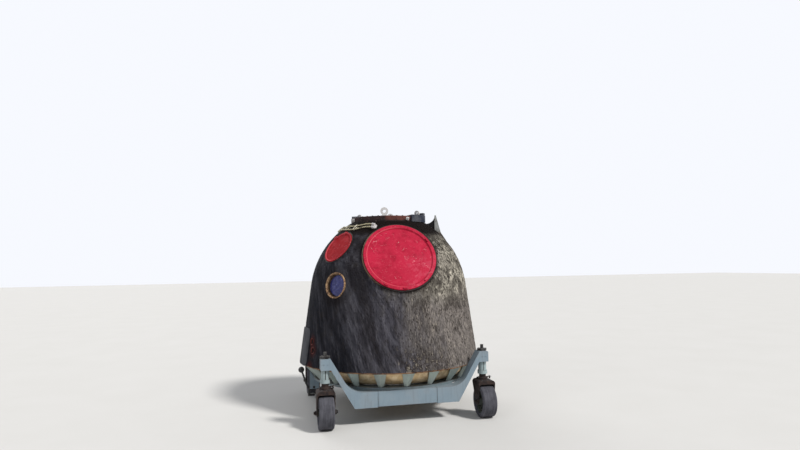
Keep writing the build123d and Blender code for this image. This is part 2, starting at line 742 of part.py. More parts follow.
# Connector fairing: a proud skin of the hull, cut to a rounded panel
FAIRING_BOTTOM = EDGE_HEIGHT - FAIRING_OVERHANG
FAIRING_TOP = FAIRING_BOTTOM + FAIRING_HEIGHT
with BuildPart() as connector_fairing:
    with BuildSketch(Plane.XZ):
        add(hull_region(-FAIRING_PROUD, FAIRING_BOTTOM, FAIRING_TOP))
    revolve(axis=Axis.Z)
    with BuildSketch(Plane.XZ):
        add(hull_region(0, FAIRING_BOTTOM, FAIRING_TOP))
    revolve(axis=Axis.Z, mode=Mode.SUBTRACT)
    panel = Plane(origin=(0, 0, 0), x_dir=(0, 0, 1), z_dir=(1, 0, 0)).rotated((0, 0, FAIRING_AZIMUTH))
    with BuildSketch(panel):
        with Locations((FAIRING_BOTTOM + FAIRING_HEIGHT / 2, 0)):
            RectangleRounded(FAIRING_HEIGHT, FAIRING_WIDTH, FAIRING_CORNER)
    extrude(amount=2 * BASE_RADIUS, mode=Mode.INTERSECT)
connector_fairing.part.label = "connector_fairing"
export_step(connector_fairing.part, "parts/connector_fairing.step")

with BuildPart() as lifting_eyes:
    for azimuth, bore_turn, eye_radius, bore_radius, thickness in LIFTING_EYES:
        turn = radians(azimuth)
        facing = radians(azimuth + bore_turn)
        eye_circle = RING_RADIUS - EYE_INSET
        foot = (eye_circle * cos(turn), eye_circle * sin(turn), RING_TOP)
        across = (-sin(facing), cos(facing), 0)
        upright = Plane(origin=foot, x_dir=across, z_dir=(cos(facing), sin(facing), 0))
        with BuildSketch(upright):
            with Locations((0, eye_radius + EYE_NECK)):
                Circle(eye_radius)
            with Locations((0, EYE_NECK / 2)):
                Rectangle(1.5 * eye_radius, EYE_NECK)
            with Locations((0, eye_radius / 2)):
                Rectangle(1.1 * eye_radius, eye_radius)
            with Locations((0, eye_radius + EYE_NECK)):
                Circle(bore_radius, mode=Mode.SUBTRACT)
        extrude(amount=thickness / 2, both=True)
lifting_eyes.part.label = "lifting_eyes"
export_step(lifting_eyes.part, "parts/lifting_eyes.step")

# Stepped blocks that grip the ring's edge round the small eyes
with BuildPart() as eye_blocks:
    for azimuth in [row[0] for row in LIFTING_EYES if row[1]]:
        for start, end, reach, foot, top in BLOCK_STEPS:
            with BuildSketch(Plane.XY.offset(RING_TOP + foot)):
                Circle(RING_RADIUS + BLOCK_DEPTH)
                Circle(RING_RADIUS - reach, mode=Mode.SUBTRACT)
                with BuildLine():
                    sides = [(2 * RING_RADIUS * cos(radians(a)), 2 * RING_RADIUS * sin(radians(a)))
                             for a in (azimuth + start, azimuth + end)]
                    Polyline((0, 0), *sides, close=True)
                make_face(mode=Mode.INTERSECT)
            extrude(amount=top - foot)
    upright_edges = eye_blocks.edges().filter_by(Axis.Z)
    outer_edges = [e for e in upright_edges if Vector(e.center().X, e.center().Y).length > RING_RADIUS + 1]
    fillet(outer_edges, BLOCK_CORNER)
    add(lifting_eyes.part, mode=Mode.SUBTRACT)
eye_blocks.part.label = "eye_blocks"
export_step(eye_blocks.part, "parts/eye_blocks.step")

# Aerial fin: the raked blade and the web with its hollow curve stand on the shoulder
FIN_RADIUS = RING_RADIUS + FIN_RING_GAP
FIN_FLOOR = dome_height(FIN_RADIUS)
BLADE_INNER = FIN_RADIUS - FIN_TIP / 2
WEB_END = BLADE_INNER - WEB_LENGTH
with BuildPart() as aerial_fin:
    with BuildSketch(radial_plane(FIN_AZIMUTH)):
        with BuildLine():
            Polyline(
                (BLADE_INNER, FIN_FLOOR - FIN_SINK),
                (FIN_RADIUS + FIN_TAIL, FIN_FLOOR - FIN_SINK),
                (FIN_RADIUS + FIN_TAIL, dome_height(FIN_RADIUS + FIN_TAIL) + FIN_TAIL_RISE),
                (FIN_RADIUS + FIN_FOOT, FIN_FLOOR - FIN_KINK),
                (FIN_RADIUS + FIN_TIP / 2, FIN_FLOOR + FIN_RISE - FIN_TIP / 2),
                (FIN_RADIUS, FIN_FLOOR + FIN_RISE),
                (BLADE_INNER, FIN_FLOOR + FIN_RISE - FIN_TIP / 2),
                close=True,
            )
        make_face()
    extrude(amount=FIN_THICKNESS / 2, both=True)
    web_top = FIN_FLOOR + FIN_RISE - WEB_TOP_DROP
    web_foot = dome_height(WEB_END)
    with BuildSketch(radial_plane(FIN_AZIMUTH)):
        with BuildLine():
            ThreePointArc(
                (BLADE_INNER, web_top),
                (BLADE_INNER - WEB_LENGTH / 3, web_top - (web_top - web_foot) * 0.68),
                (WEB_END, web_foot),
            )
            Polyline((WEB_END, web_foot), (BLADE_INNER, FIN_FLOOR - FIN_SINK), (BLADE_INNER, web_top))
        make_face()
    extrude(amount=WEB_THICKNESS / 2, both=True)
    with BuildSketch(Plane.XZ):
        add(hull_region(0, SHOULDER_HEIGHT, RIM_HEIGHT))
    revolve(axis=Axis.Z, mode=Mode.SUBTRACT)
aerial_fin.part.label = "aerial_fin"
export_step(aerial_fin.part, "parts/aerial_fin.step")

# Riser ropes, held at both ends in the sockets of their anchors
for name, route in ROPES.items():
    points = [hull_plane(azimuth, RIM_HEIGHT - drop, lift).origin for azimuth, drop, lift in route]
    runs = [(b - a).length for a, b in zip(points, points[1:])]
    turns = [(b - a).get_angle(c - b) for a, b, c in zip(points, points[1:], points[2:])]
    bends = [0.45 * min(pair) / tan(radians(turn / 2)) for *pair, turn in zip(runs, runs[1:], turns)]
    with BuildPart() as rope:
        with BuildLine() as rope_line:
            FilletPolyline(*points, radius=bends)
        with BuildSketch(Plane(origin=points[0], z_dir=points[1] - points[0])):
            Circle(ROPE_RADIUS)
        sweep(path=rope_line.wire())
    length = rope_line.wire().length
    print(name, "rope: bends", [round(bend) for bend in bends], "runs", [round(run) for run in runs])
    print("length", round(length, 1), "solid over section", rope.part.volume / (length * pi * ROPE_RADIUS**2))
    rope.part.label = f"riser_rope_{name}"
    export_step(rope.part, f"parts/riser_rope_{name}.step")

with BuildPart() as rope_anchors:
    for azimuth, drop in ROPE_ANCHORS:
        with BuildSketch(hull_plane(azimuth, RIM_HEIGHT - drop, -ANCHOR_HEIGHT)):
            RectangleRounded(ANCHOR_WIDTH, ANCHOR_LENGTH, BLOCK_CORNER)
        extrude(amount=2 * ANCHOR_HEIGHT)
    for route in ROPES.values():
        points = [hull_plane(azimuth, RIM_HEIGHT - drop, lift).origin for azimuth, drop, lift in route]
        for mouth, neighbour in ((points[0], points[1]), (points[-1], points[-2])):
            inward = mouth - neighbour
            with BuildSketch(Plane(origin=mouth, z_dir=inward)):
                Circle(SOCKET_RADIUS)
            extrude(amount=SOCKET_LENGTH)
    with BuildSketch(Plane.XZ):
        add(hull_region(0, SHOULDER_HEIGHT, RIM_HEIGHT))
    revolve(axis=Axis.Z, mode=Mode.SUBTRACT)
rope_anchors.part.label = "rope_anchors"
export_step(rope_anchors.part, "parts/rope_anchors.step")

# Crew couches: a contoured shell with side rims, on two legs
for name, heading, shift in COUCHES:
    turn = radians(heading)
    side_view = Plane(
        origin=(shift, 0, FLOOR_TOP),
        x_dir=(sin(turn), cos(turn), 0),
        z_dir=(cos(turn), -sin(turn), 0),
    )
    with BuildPart() as couch:
        for rise, middle, half in COUCH_LAYERS:
            upper_face = [(along, up + rise) for along, up in COUCH_LINE]
            lower_face = [(along, up - COUCH_SHELL) for along, up in COUCH_LINE]
            with BuildSketch(side_view.offset(middle)):
                with BuildLine():
                    upper = FilletPolyline(*upper_face, radius=COUCH_BEND)
                    lower = FilletPolyline(*lower_face, radius=COUCH_BEND)
                    Line(upper @ 0, lower @ 0)
                    Line(upper @ 1, lower @ 1)
                make_face()
            extrude(amount=half, both=True)
        for along, up in COUCH_LEG_PLACES:
            with BuildSketch(side_view):
                with Locations((along, 0)):
                    Rectangle(COUCH_LEG, up + COUCH_SHELL / 2, align=(Align.CENTER, Align.MIN))
            extrude(amount=COUCH_LEG_WIDTH / 2, both=True)
    couch.part.label = f"couch_{name}"
    export_step(couch.part, f"parts/couch_{name}.step")

# Caster heights, from the floor up
FORK_TOP = 2 * WHEEL_RADIUS + FORK_CROWN_GAP + FORK_CROWN
COLLAR_BOTTOM = FORK_TOP + NECK_HEIGHT + SWIVEL_GAP
SLEEVE_BOTTOM = COLLAR_BOTTOM + COLLAR_LIP
STEM_TOP = COLLAR_BOTTOM + STEM_LENGTH
HEAD_BOTTOM = SLEEVE_BOTTOM + SLEEVE_SHOWN
HEAD_TOP = HEAD_BOTTOM + HEAD_HEIGHT

# Dolly end frames: a low middle beam whose arms rise to the caster posts
BEAM_BOTTOM = BEAM_TOP - BEAM_HEIGHT
HEAD_INNER = POST_X - HEAD_INSIDE
HEAD_OUTER = POST_X + HEAD_OUTSIDE
ARM_SLOPE = tan(radians(ARM_ANGLE))
ARM_SHIFT = ARM_WIDTH / sin(radians(ARM_ANGLE))
BEAM_HALF_LENGTH = HEAD_INNER - (HEAD_BOTTOM - BEAM_BOTTOM) / ARM_SLOPE


def arm_upper_x(height):
    """Place of the arm's upper edge at a height."""
    return BEAM_HALF_LENGTH + (height - BEAM_BOTTOM) / ARM_SLOPE - ARM_SHIFT


def end_frame(facing):
    """One end frame, at the front for -1 and at the rear for 1."""
    with BuildPart() as frame:
        with BuildSketch(Plane.XZ.offset(-facing * POST_Y)):
            with BuildLine():
                Polyline(
                    (0, BEAM_BOTTOM + BEAM_MIDDLE_STEP),
                    (BEAM_MIDDLE_HALF, BEAM_BOTTOM + BEAM_MIDDLE_STEP),
                    (BEAM_MIDDLE_HALF, BEAM_BOTTOM),
                    (BEAM_HALF_LENGTH, BEAM_BOTTOM),
                    (HEAD_INNER, HEAD_BOTTOM),
                    (HEAD_OUTER, HEAD_BOTTOM),
                    (HEAD_OUTER, HEAD_TOP),
                    (arm_upper_x(HEAD_TOP), HEAD_TOP),
                    (arm_upper_x(BEAM_TOP), BEAM_TOP),
                    (0, BEAM_TOP),
                    close=True,
                )
            make_face()
            mirror(about=Plane.YZ)
        extrude(amount=BEAM_DEPTH / 2, both=True)
        upright_edges = frame.edges().filter_by(Axis.Y)
        inner_corners = [e for e in upright_edges if abs(e.center().Z - BEAM_TOP) < 1]
        fillet(inner_corners, ARM_FILLET)
        upright_edges = frame.edges().filter_by(Axis.Y)
        head_corners = [e for e in upright_edges if abs(e.center().Z - HEAD_TOP) < 1]
        fillet(head_corners, HEAD_CORNER)
        with Locations([(x, facing * POST_Y, HEAD_TOP) for x in (-POST_X, POST_X)]):
            Hole(SLEEVE_RADIUS)
    return frame.part


front_frame = end_frame(-1)
front_frame.label = "front_frame"
export_step(front_frame, "parts/front_frame.step")

rear_frame = end_frame(1)
rear_frame.label = "rear_frame"
export_step(rear_frame, "parts/rear_frame.step")

RAIL_X = BEAM_HALF_LENGTH - RAIL_INSET
for name, side in (("left", -1), ("right", 1)):
    with BuildPart() as side_rail:
        with BuildSketch(Plane.XZ):
            with Locations((side * RAIL_X, BEAM_TOP - RAIL_HEIGHT / 2)):
                RectangleRounded(RAIL_WIDTH, RAIL_HEIGHT, RAIL_CORNER)
                Rectangle(RAIL_WIDTH - 2 * RAIL_WALL, RAIL_HEIGHT - 2 * RAIL_WALL, mode=Mode.SUBTRACT)
        extrude(amount=POST_Y - BEAM_DEPTH / 2, both=True)
    side_rail.part.label = f"side_rail_{name}"
    export_step(side_rail.part, f"parts/side_rail_{name}.step")

# Support ring, and the folded angle brackets that carry the hull's edge
with BuildPart() as support_ring:
    with BuildSketch(Plane.XY.offset(BEAM_TOP)):
        Circle(RING_OUTER)
        Circle(RING_OUTER - RING_WIDTH, mode=Mode.SUBTRACT)
    extrude(amount=RING_PLATE)
support_ring.part.label = "support_ring"
export_step(support_ring.part, "parts/support_ring.step")


def bracket_section(radius, half_width):
    """Folded angle seen from above: ridge outward, two flanges running back from it."""
    with BuildSketch(mode=Mode.PRIVATE) as section:
        with BuildLine():
            Polyline(
                (radius, 0),
                (radius - half_width, half_width),
                (radius - half_width - BRACKET_SHEET, half_width - BRACKET_SHEET * 0.4),
                (radius - 1.4 * BRACKET_SHEET, 0),
                (radius - half_width - BRACKET_SHEET, BRACKET_SHEET * 0.4 - half_width),
                (radius - half_width, -half_width),
                close=True,
            )
        make_face()
    return section.sketch


with BuildPart(mode=Mode.PRIVATE) as bracket:
    with BuildSketch(Plane.XY.offset(RING_PLATE_TOP)):
        add(bracket_section(RING_OUTER - BRACKET_FOOT_SETBACK, BRACKET_FOOT_HALF))
    with BuildSketch(Plane.XY.offset(RING_PLATE_TOP + BRACKET_RISE)):
        add(bracket_section(BASE_RADIUS - BRACKET_TOP_SETBACK, BRACKET_TOP_HALF))
    loft(ruled=True)

with BuildPart() as ring_brackets:
    with PolarLocations(0, BRACKET_COUNT, start_angle=-90):
        add(bracket.part)
ring_brackets.part.label = "ring_brackets"
export_step(ring_brackets.part, "parts/ring_brackets.step")

# Hold-down clamps: twin plates on the ring, with a hook pinned between them and a hand lever
CLAMP_FOOT = BEAM_TOP - CLAMP_DROP
CLAMP_REACH = RING_OUTER + CLAMP_OUT
CLAMP_BACK = RING_OUTER - CLAMP_INSET
PIN_PLACE = (RING_OUTER, CLAMP_FOOT + CLAMP_PIN_RISE)
with BuildPart() as clamp_yokes:
    for side in (-1, 1):
        for shift in (-1, 1):
            with BuildSketch(Plane.XZ.offset(shift * (CLAMP_GAP + CLAMP_PLATE) / 2)):
                with BuildLine():
                    Polyline(
                        (side * RING_OUTER, RING_PLATE_TOP),
                        (side * CLAMP_REACH, RING_PLATE_TOP + CLAMP_UP),
                        (side * CLAMP_REACH, CLAMP_FOOT),
                        (side * CLAMP_BACK, CLAMP_FOOT),
                        (side * CLAMP_BACK, BEAM_TOP),
                        (side * RING_OUTER, BEAM_TOP),
                        close=True,
                    )
                make_face()
                with Locations((side * PIN_PLACE[0], PIN_PLACE[1])):
                    Circle(CLAMP_PIN_RADIUS, mode=Mode.SUBTRACT)
            extrude(amount=CLAMP_PLATE / 2, both=True)
        with BuildSketch(Plane.XZ):
            with Locations((side * (CLAMP_BACK + CLAMP_BACK_SHIFT), (BEAM_TOP + CLAMP_FOOT) / 2)):
                Rectangle(CLAMP_PLATE, BEAM_TOP - CLAMP_FOOT)
        extrude(amount=CLAMP_GAP / 2 + CLAMP_PLATE, both=True)
clamp_yokes.part.label = "clamp_yokes"
export_step(clamp_yokes.part, "parts/clamp_yokes.step")

HOOK_OUTER = CLAMP_REACH + HOOK_OUT
HOOK_INNER = HOOK_OUTER - HOOK_WIDTH
HOOK_TOP = CLAMP_FOOT
HOOK_BOTTOM = CLAMP_FOOT - HOOK_DROP
HEAD_MIDDLE = (CLAMP_GAP + CLAMP_PIN_HEAD_LENGTH) / 2 + CLAMP_PLATE
with BuildPart() as clamp_levers:
    for side in (-1, 1):
        with BuildSketch(Plane.XZ):
            with BuildLine():
                Polyline(
                    (side * HOOK_INNER, HOOK_TOP + HOOK_TAB),
                    (side * (HOOK_OUTER - HOOK_TAB_SETBACK), HOOK_TOP + HOOK_TAB),
                    (side * (HOOK_OUTER - HOOK_TAB_SETBACK), HOOK_TOP),
                    (side * HOOK_OUTER, HOOK_TOP),
                    (side * HOOK_OUTER, HOOK_BOTTOM),
                    (side * HOOK_INNER, HOOK_BOTTOM),
                    (side * HOOK_INNER, HOOK_BOTTOM + HOOK_BAR),
                    (side * (HOOK_OUTER - HOOK_BAR), HOOK_BOTTOM + HOOK_BAR),
                    (side * (HOOK_OUTER - HOOK_BAR), HOOK_TOP - HOOK_BAR),
                    (side * HOOK_INNER, HOOK_TOP - HOOK_BAR),
                    close=True,
                )
            make_face()
        extrude(amount=CLAMP_GAP / 2 - HOOK_SIDE_GAP, both=True)
        with BuildSketch(Plane.XZ):
            with Locations((side * PIN_PLACE[0], PIN_PLACE[1])):
                Circle(CLAMP_PIN_RADIUS)
        extrude(amount=CLAMP_GAP / 2 + CLAMP_PLATE, both=True)
        for end in (-1, 1):
            with BuildSketch(Plane.XZ.offset(end * HEAD_MIDDLE)):
                with Locations((side * PIN_PLACE[0], PIN_PLACE[1])):
                    Circle(CLAMP_PIN_HEAD)
            extrude(amount=CLAMP_PIN_HEAD_LENGTH / 2, both=True)
        bends = [Vector(side * (HOOK_OUTER + out), 0, CLAMP_FOOT + up) for out, up in ROD_ROUTE]
        with BuildLine() as rod_line:
            Polyline(*bends)
        with BuildSketch(Plane(origin=bends[0], z_dir=bends[1] - bends[0])):
            Circle(ROD_RADIUS)
        sweep(path=rod_line.line, transition=Transition.ROUND)
        knob_lift = (bends[2] - bends[1]).normalized() * (CLAMP_KNOB_RADIUS * 0.65)
        with Locations(bends[2] + knob_lift):
            Sphere(CLAMP_KNOB_RADIUS)
clamp_levers.part.label = "clamp_levers"
export_step(clamp_levers.part, "parts/clamp_levers.step")

# Caster posts: split sleeves through the frame heads, and their hand nuts
with BuildPart() as post_sleeves:
    for _, x, y in CASTERS:
        with BuildSketch(Plane.XY.offset(SLEEVE_BOTTOM)):
            with Locations((x, y)):
                Circle(SLEEVE_RADIUS)
        extrude(amount=HEAD_TOP - SLEEVE_BOTTOM)
        with BuildSketch(Plane.XY.offset(COLLAR_BOTTOM)):
            with Locations((x, y)):
                Circle(COLLAR_RADIUS)
        extrude(amount=COLLAR_HEIGHT)
        with BuildSketch(Plane.XY.offset(COLLAR_BOTTOM)):
            with Locations((x, y)):
                Circle(STEM_RADIUS + PIN_CLEARANCE)
        extrude(amount=STEM_TOP + SWIVEL_GAP - COLLAR_BOTTOM, mode=Mode.SUBTRACT)
        outward = 1 if y > 0 else -1
        with BuildSketch(Plane.XY.offset(COLLAR_BOTTOM + COLLAR_HEIGHT)):
            with Locations((x, y + outward * SLEEVE_RADIUS)):
                Rectangle(SLEEVE_SLOT, 2 * (SLEEVE_RADIUS - STEM_RADIUS))
        extrude(amount=HEAD_BOTTOM - COLLAR_BOTTOM - COLLAR_HEIGHT, mode=Mode.SUBTRACT)
post_sleeves.part.label = "post_sleeves"
export_step(post_sleeves.part, "parts/post_sleeves.step")

with BuildPart() as post_knobs:
    for _, x, y in CASTERS:
        with BuildSketch(Plane.XY.offset(HEAD_TOP)):
            with Locations((x, y)):
                Circle(KNOB_RADIUS)
                with PolarLocations(KNOB_RADIUS, KNOB_LOBES):
                    Circle(KNOB_LOBE)
        extrude(amount=KNOB_HEIGHT)
        with BuildSketch(Plane.XY.offset(HEAD_TOP + KNOB_HEIGHT)):
            with Locations((x, y)):
                RegularPolygon(KNOB_NUT, 6)
        extrude(amount=KNOB_NUT_HEIGHT)
post_knobs.part.label = "post_knobs"
export_step(post_knobs.part, "parts/post_knobs.step")

# Casters: the fork turns in the post, the wheel on the fork's axle
FORK_INNER = TYRE_WIDTH / 2 + FORK_SIDE_GAP
FORK_OUTER = FORK_INNER + FORK_LEG
CROWN_FOOT = FORK_TOP - FORK_CROWN
FORK_LENGTH = FORK_FRONT + FORK_BACK
TYRE_INNER_RADIUS = WHEEL_RADIUS - TYRE_DEPTH
AXLE_HALF = FORK_OUTER + AXLE_NUT + AXLE_STUB
for name, x, y in CASTERS:
    axle_y = y - CASTER_TRAIL
    fork_middle = y + (FORK_FRONT - FORK_BACK) / 2
    front_view = Plane.XZ.offset(-fork_middle)
    with BuildPart() as fork:
        with BuildSketch(front_view) as arch:
            with Locations((x, FORK_TOP)):
                Rectangle(2 * FORK_OUTER, FORK_TOP, align=(Align.CENTER, Align.MAX))
            fillet(arch.vertices().group_by(Axis.Y)[-1], FORK_CORNER)
        extrude(amount=FORK_LENGTH / 2, both=True)
        with BuildSketch(front_view) as wheel_space:
            with Locations((x, CROWN_FOOT)):
                Rectangle(2 * FORK_INNER, CROWN_FOOT, align=(Align.CENTER, Align.MAX))
            fillet(wheel_space.vertices().group_by(Axis.Y)[-1], FORK_CORNER - FORK_LEG)
        extrude(amount=FORK_LENGTH / 2, both=True, mode=Mode.SUBTRACT)
        with BuildSketch(Plane.YZ.offset(x)):
            with Locations((fork_middle, FORK_TOP)):
                Rectangle(FORK_LENGTH, FORK_CROWN, align=(Align.CENTER, Align.MAX))
            with Locations((fork_middle, CROWN_FOOT)):
                Rectangle(FORK_LENGTH - FORK_TAPER, FORK_LEG, align=(Align.CENTER, Align.MAX))
            with Locations((axle_y, WHEEL_RADIUS)):
                Circle(FORK_BOSS)
            make_hull()
        extrude(amount=FORK_OUTER, both=True, mode=Mode.INTERSECT)
        for radius, height in (
            (RACE_RADIUS, RACE_HEIGHT),
            (NECK_RADIUS, NECK_HEIGHT),
            (STEM_RADIUS, STEM_TOP - FORK_TOP),
        ):
            with BuildSketch(Plane.XY.offset(FORK_TOP)):
                with Locations((x, y)):
                    Circle(radius)
            extrude(amount=height)
        with BuildSketch(Plane.XY.offset(FORK_TOP)):
            with Locations((x + LOCK_REACH, y)):
                Circle(LOCK_PIN_RADIUS)
        extrude(amount=RACE_HEIGHT + 2 * LOCK_LEVER)
        with BuildSketch(Plane.XY.offset(FORK_TOP + RACE_HEIGHT)):
            with Locations((x + LOCK_REACH - LOCK_LEVER_LENGTH / 4, y)):
                RectangleRounded(LOCK_LEVER_LENGTH, LOCK_LEVER_WIDTH, LOCK_LEVER)
        extrude(amount=LOCK_LEVER)
        with BuildSketch(Plane.YZ.offset(x)):
            with Locations((axle_y, WHEEL_RADIUS)):
                Circle(AXLE_RADIUS)
        extrude(amount=AXLE_HALF, both=True)
        for side in (-1, 1):
            with BuildSketch(Plane.YZ.offset(x + side * (FORK_OUTER + AXLE_NUT / 2))):
                with Locations((axle_y, WHEEL_RADIUS)):
                    RegularPolygon(AXLE_NUT_RADIUS, 6)
            extrude(amount=AXLE_NUT / 2, both=True)
    fork.part.label = f"fork_{name}"
    export_step(fork.part, f"parts/fork_{name}.step")

    section = Plane(origin=(x, axle_y, WHEEL_RADIUS), x_dir=(1, 0, 0), z_dir=(0, 0, 1))
    axle = Axis((x, axle_y, WHEEL_RADIUS), (1, 0, 0))
    with BuildPart() as tyre:
        with BuildSketch(section):
            with Locations((0, (TYRE_INNER_RADIUS + WHEEL_RADIUS) / 2)):
                tread = Rectangle(TYRE_WIDTH, TYRE_DEPTH)
            fillet(tread.vertices().group_by(Axis.Y)[-1], TYRE_EDGE)
        revolve(axis=axle)
    tyre.part.label = f"tyre_{name}"
    export_step(tyre.part, f"parts/tyre_{name}.step")

    rim_inner = TYRE_INNER_RADIUS - HUB_RIM
    rib_length = rim_inner - HUB_BOSS_RADIUS
    with BuildPart() as hub:
        with BuildSketch(section):
            with Locations((0, TYRE_INNER_RADIUS - HUB_RIM / 2)):
                Rectangle(HUB_WIDTH, HUB_RIM)
            with Locations((0, HUB_BOSS_RADIUS + rib_length / 2)):
                Rectangle(HUB_WEB, rib_length)
            with Locations((0, (AXLE_RADIUS + PIN_CLEARANCE + HUB_BOSS_RADIUS) / 2)):
                Rectangle(2 * (FORK_INNER - HUB_SIDE_GAP), HUB_BOSS_RADIUS - AXLE_RADIUS - PIN_CLEARANCE)
        revolve(axis=axle)
        with BuildSketch(Plane.YZ.offset(x)):
            with Locations((axle_y, WHEEL_RADIUS)):
                with PolarLocations(HUB_BOSS_RADIUS + (rib_length - HUB_RIB_OVERLAP) / 2, HUB_RIB_COUNT):
                    Rectangle(rib_length + HUB_RIB_OVERLAP, HUB_RIB)
        extrude(amount=HUB_WEB / 2 + HUB_RIB_HEIGHT, both=True)
    hub.part.label = f"hub_{name}"
    export_step(hub.part, f"parts/hub_{name}.step")

print("posts", round(POST_X, 3), round(POST_Y, 3), "heads", HEAD_BOTTOM, HEAD_TOP)
print("arc", SHOULDER_ARC_RADIUS, SHOULDER_CENTRE, "dish", DISH_BOTTOM, "hinge", HINGE_REACH, HINGE_HEIGHT)
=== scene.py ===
# %% [markdown]
# # A scorched crew capsule on its transport dolly
#
# The object is a bell-shaped descent capsule that has flown: its heat shield is gone, its sides are
# charred like bark, and red transport covers close its two round bays. It stands on a pale steel dolly
# with four swivelling casters.
#
# The solid model is loaded first and never changes. Everything here dresses it: finishes on the solids,
# and small pieces such as screws, rope strands and weld beads that are too fine for the solid model.

# %% Load the solid model
import math
import random

import bmesh
import bpy
from mathutils import Matrix, Vector


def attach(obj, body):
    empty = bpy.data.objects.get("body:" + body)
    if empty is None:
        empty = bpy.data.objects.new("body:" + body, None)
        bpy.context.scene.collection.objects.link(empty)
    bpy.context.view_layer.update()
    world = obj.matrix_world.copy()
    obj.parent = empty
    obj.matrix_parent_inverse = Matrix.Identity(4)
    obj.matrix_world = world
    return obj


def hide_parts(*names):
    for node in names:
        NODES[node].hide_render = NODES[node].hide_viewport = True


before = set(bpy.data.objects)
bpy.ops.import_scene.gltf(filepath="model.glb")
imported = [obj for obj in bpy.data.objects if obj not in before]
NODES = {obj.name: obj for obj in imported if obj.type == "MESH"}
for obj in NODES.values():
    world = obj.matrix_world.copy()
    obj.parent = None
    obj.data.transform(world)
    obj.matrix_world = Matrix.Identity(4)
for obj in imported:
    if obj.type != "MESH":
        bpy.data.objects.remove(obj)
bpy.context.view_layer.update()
ROOT = "capsule_on_dolly"
CASTERS = ["front_left", "front_right", "rear_left", "rear_right"]

# %% [markdown]
# ## The camera
#
# A photograph fixes where its camera stood. Here the place, the tilt and the focal length come from a
# fit to the horizon, the hull's outline, the posts and the front beam. The rotation's columns are the
# camera's right, up and backward directions.

# %% Camera at the photograph's viewpoint
FOCAL_PIXELS = 560
PICTURE_WIDTH = 800
EYE = Vector((-1.4722, -6.9559, 1.70))
LOOK = Vector((0.2281, 0.9710, 0.0717)).normalized()


def square_to(direction, line):
    """The part of a direction that is square to a line, as a unit vector."""
    return (direction - line * direction.dot(line)).normalized()


SIDE = square_to(Vector((0.97364, -0.22760, -0.01514)), LOOK)
RISE = SIDE.cross(LOOK)

camera_data = bpy.data.cameras.new("photograph_view")
camera_data.sensor_width = 36
camera_data.lens = camera_data.sensor_width * FOCAL_PIXELS / PICTURE_WIDTH
camera = bpy.data.objects.new("photograph_view", camera_data)
camera.matrix_world = Matrix.Translation(EYE) @ Matrix((SIDE, RISE, -LOOK)).transposed().to_4x4()
bpy.context.scene.collection.objects.link(camera)
bpy.context.scene.camera = camera
print("lens", round(camera_data.lens, 1), "mm at", [round(x, 2) for x in EYE])

# %% [markdown]
# ## The hull as a formula
#
# Many pieces sit on the hull, so its outer face is needed as numbers: a cone from the edge to the
# shoulder, then one arc to the rim. The sizes are the solid model's own, in metres. An azimuth is in
# degrees round the axis, 0 to the right of the front and -90 at the front.

# %% Points and directions on the hull
EDGE_HEIGHT = 0.560
SHOULDER_HEIGHT = 1.485
SEAM_HEIGHT = 1.300
RIM_HEIGHT = 2.225
EDGE_RADIUS = 1.090
CONE_SLOPE = math.radians(7.85)
ARC_RADIUS = 1.0353165
ARC_MIDDLE = (-0.0631463, 1.3435964)


def hull_radius(height):
    """Radius of the hull's outer face at a height."""
    if height <= SHOULDER_HEIGHT:
        return EDGE_RADIUS - (height - EDGE_HEIGHT) * math.tan(CONE_SLOPE)
    return ARC_MIDDLE[0] + math.sqrt(ARC_RADIUS**2 - (height - ARC_MIDDLE[1]) ** 2)


def around(azimuth, radius, height):
    """Point at an azimuth, a radius and a height."""
    turn = math.radians(azimuth)
    return Vector((radius * math.cos(turn), radius * math.sin(turn), height))


def hull_frame(azimuth, height):
    """Point on the hull's outer face, and the directions sideways, up along it and outward."""
    turn = math.radians(azimuth)
    slope = CONE_SLOPE if height <= SHOULDER_HEIGHT else math.asin((height - ARC_MIDDLE[1]) / ARC_RADIUS)
    sideways = Vector((-math.sin(turn), math.cos(turn), 0))
    outward = Vector((math.cos(turn) * math.cos(slope), math.sin(turn) * math.cos(slope), math.sin(slope)))
    return around(azimuth, hull_radius(height), height), sideways, outward.cross(sideways), outward


def hull_point(azimuth, height, lift=0.0):
    """Point over the hull's outer face, lifted off it."""
    foot, _, _, outward = hull_frame(azimuth, height)
    return foot + outward * lift


print("hull radius at the shoulder", round(hull_radius(SHOULDER_HEIGHT), 4))
print("hull radius at the rim", round(hull_radius(RIM_HEIGHT), 4))

# %% [markdown]
# ## Mesh helpers
#
# Small metal pieces are profiles turned about an axis, boxes or swept tubes. One collector gathers
# such shapes, so that twenty screws of one kind become one object with one finish. Each shape takes
# the directions of its own frame, so the same profile can stand on any surface.

# %% A collector for turned, swept and boxed shapes
UP = Vector((0, 0, 1))
ACROSS = Vector((1, 0, 0))
ALONG = Vector((0, 1, 0))
CLOSE = 1e-5


def on_circle(middle, side, other, turn, radius):
    """Point at a turn on a circle that two directions span."""
    return middle + (side * math.cos(turn) + other * math.sin(turn)) * radius


def circle(middle, side, other, radius, segments):
    """Evenly spaced points on such a circle."""
    return [on_circle(middle, side, other, math.tau * step / segments, radius) for step in range(segments)]


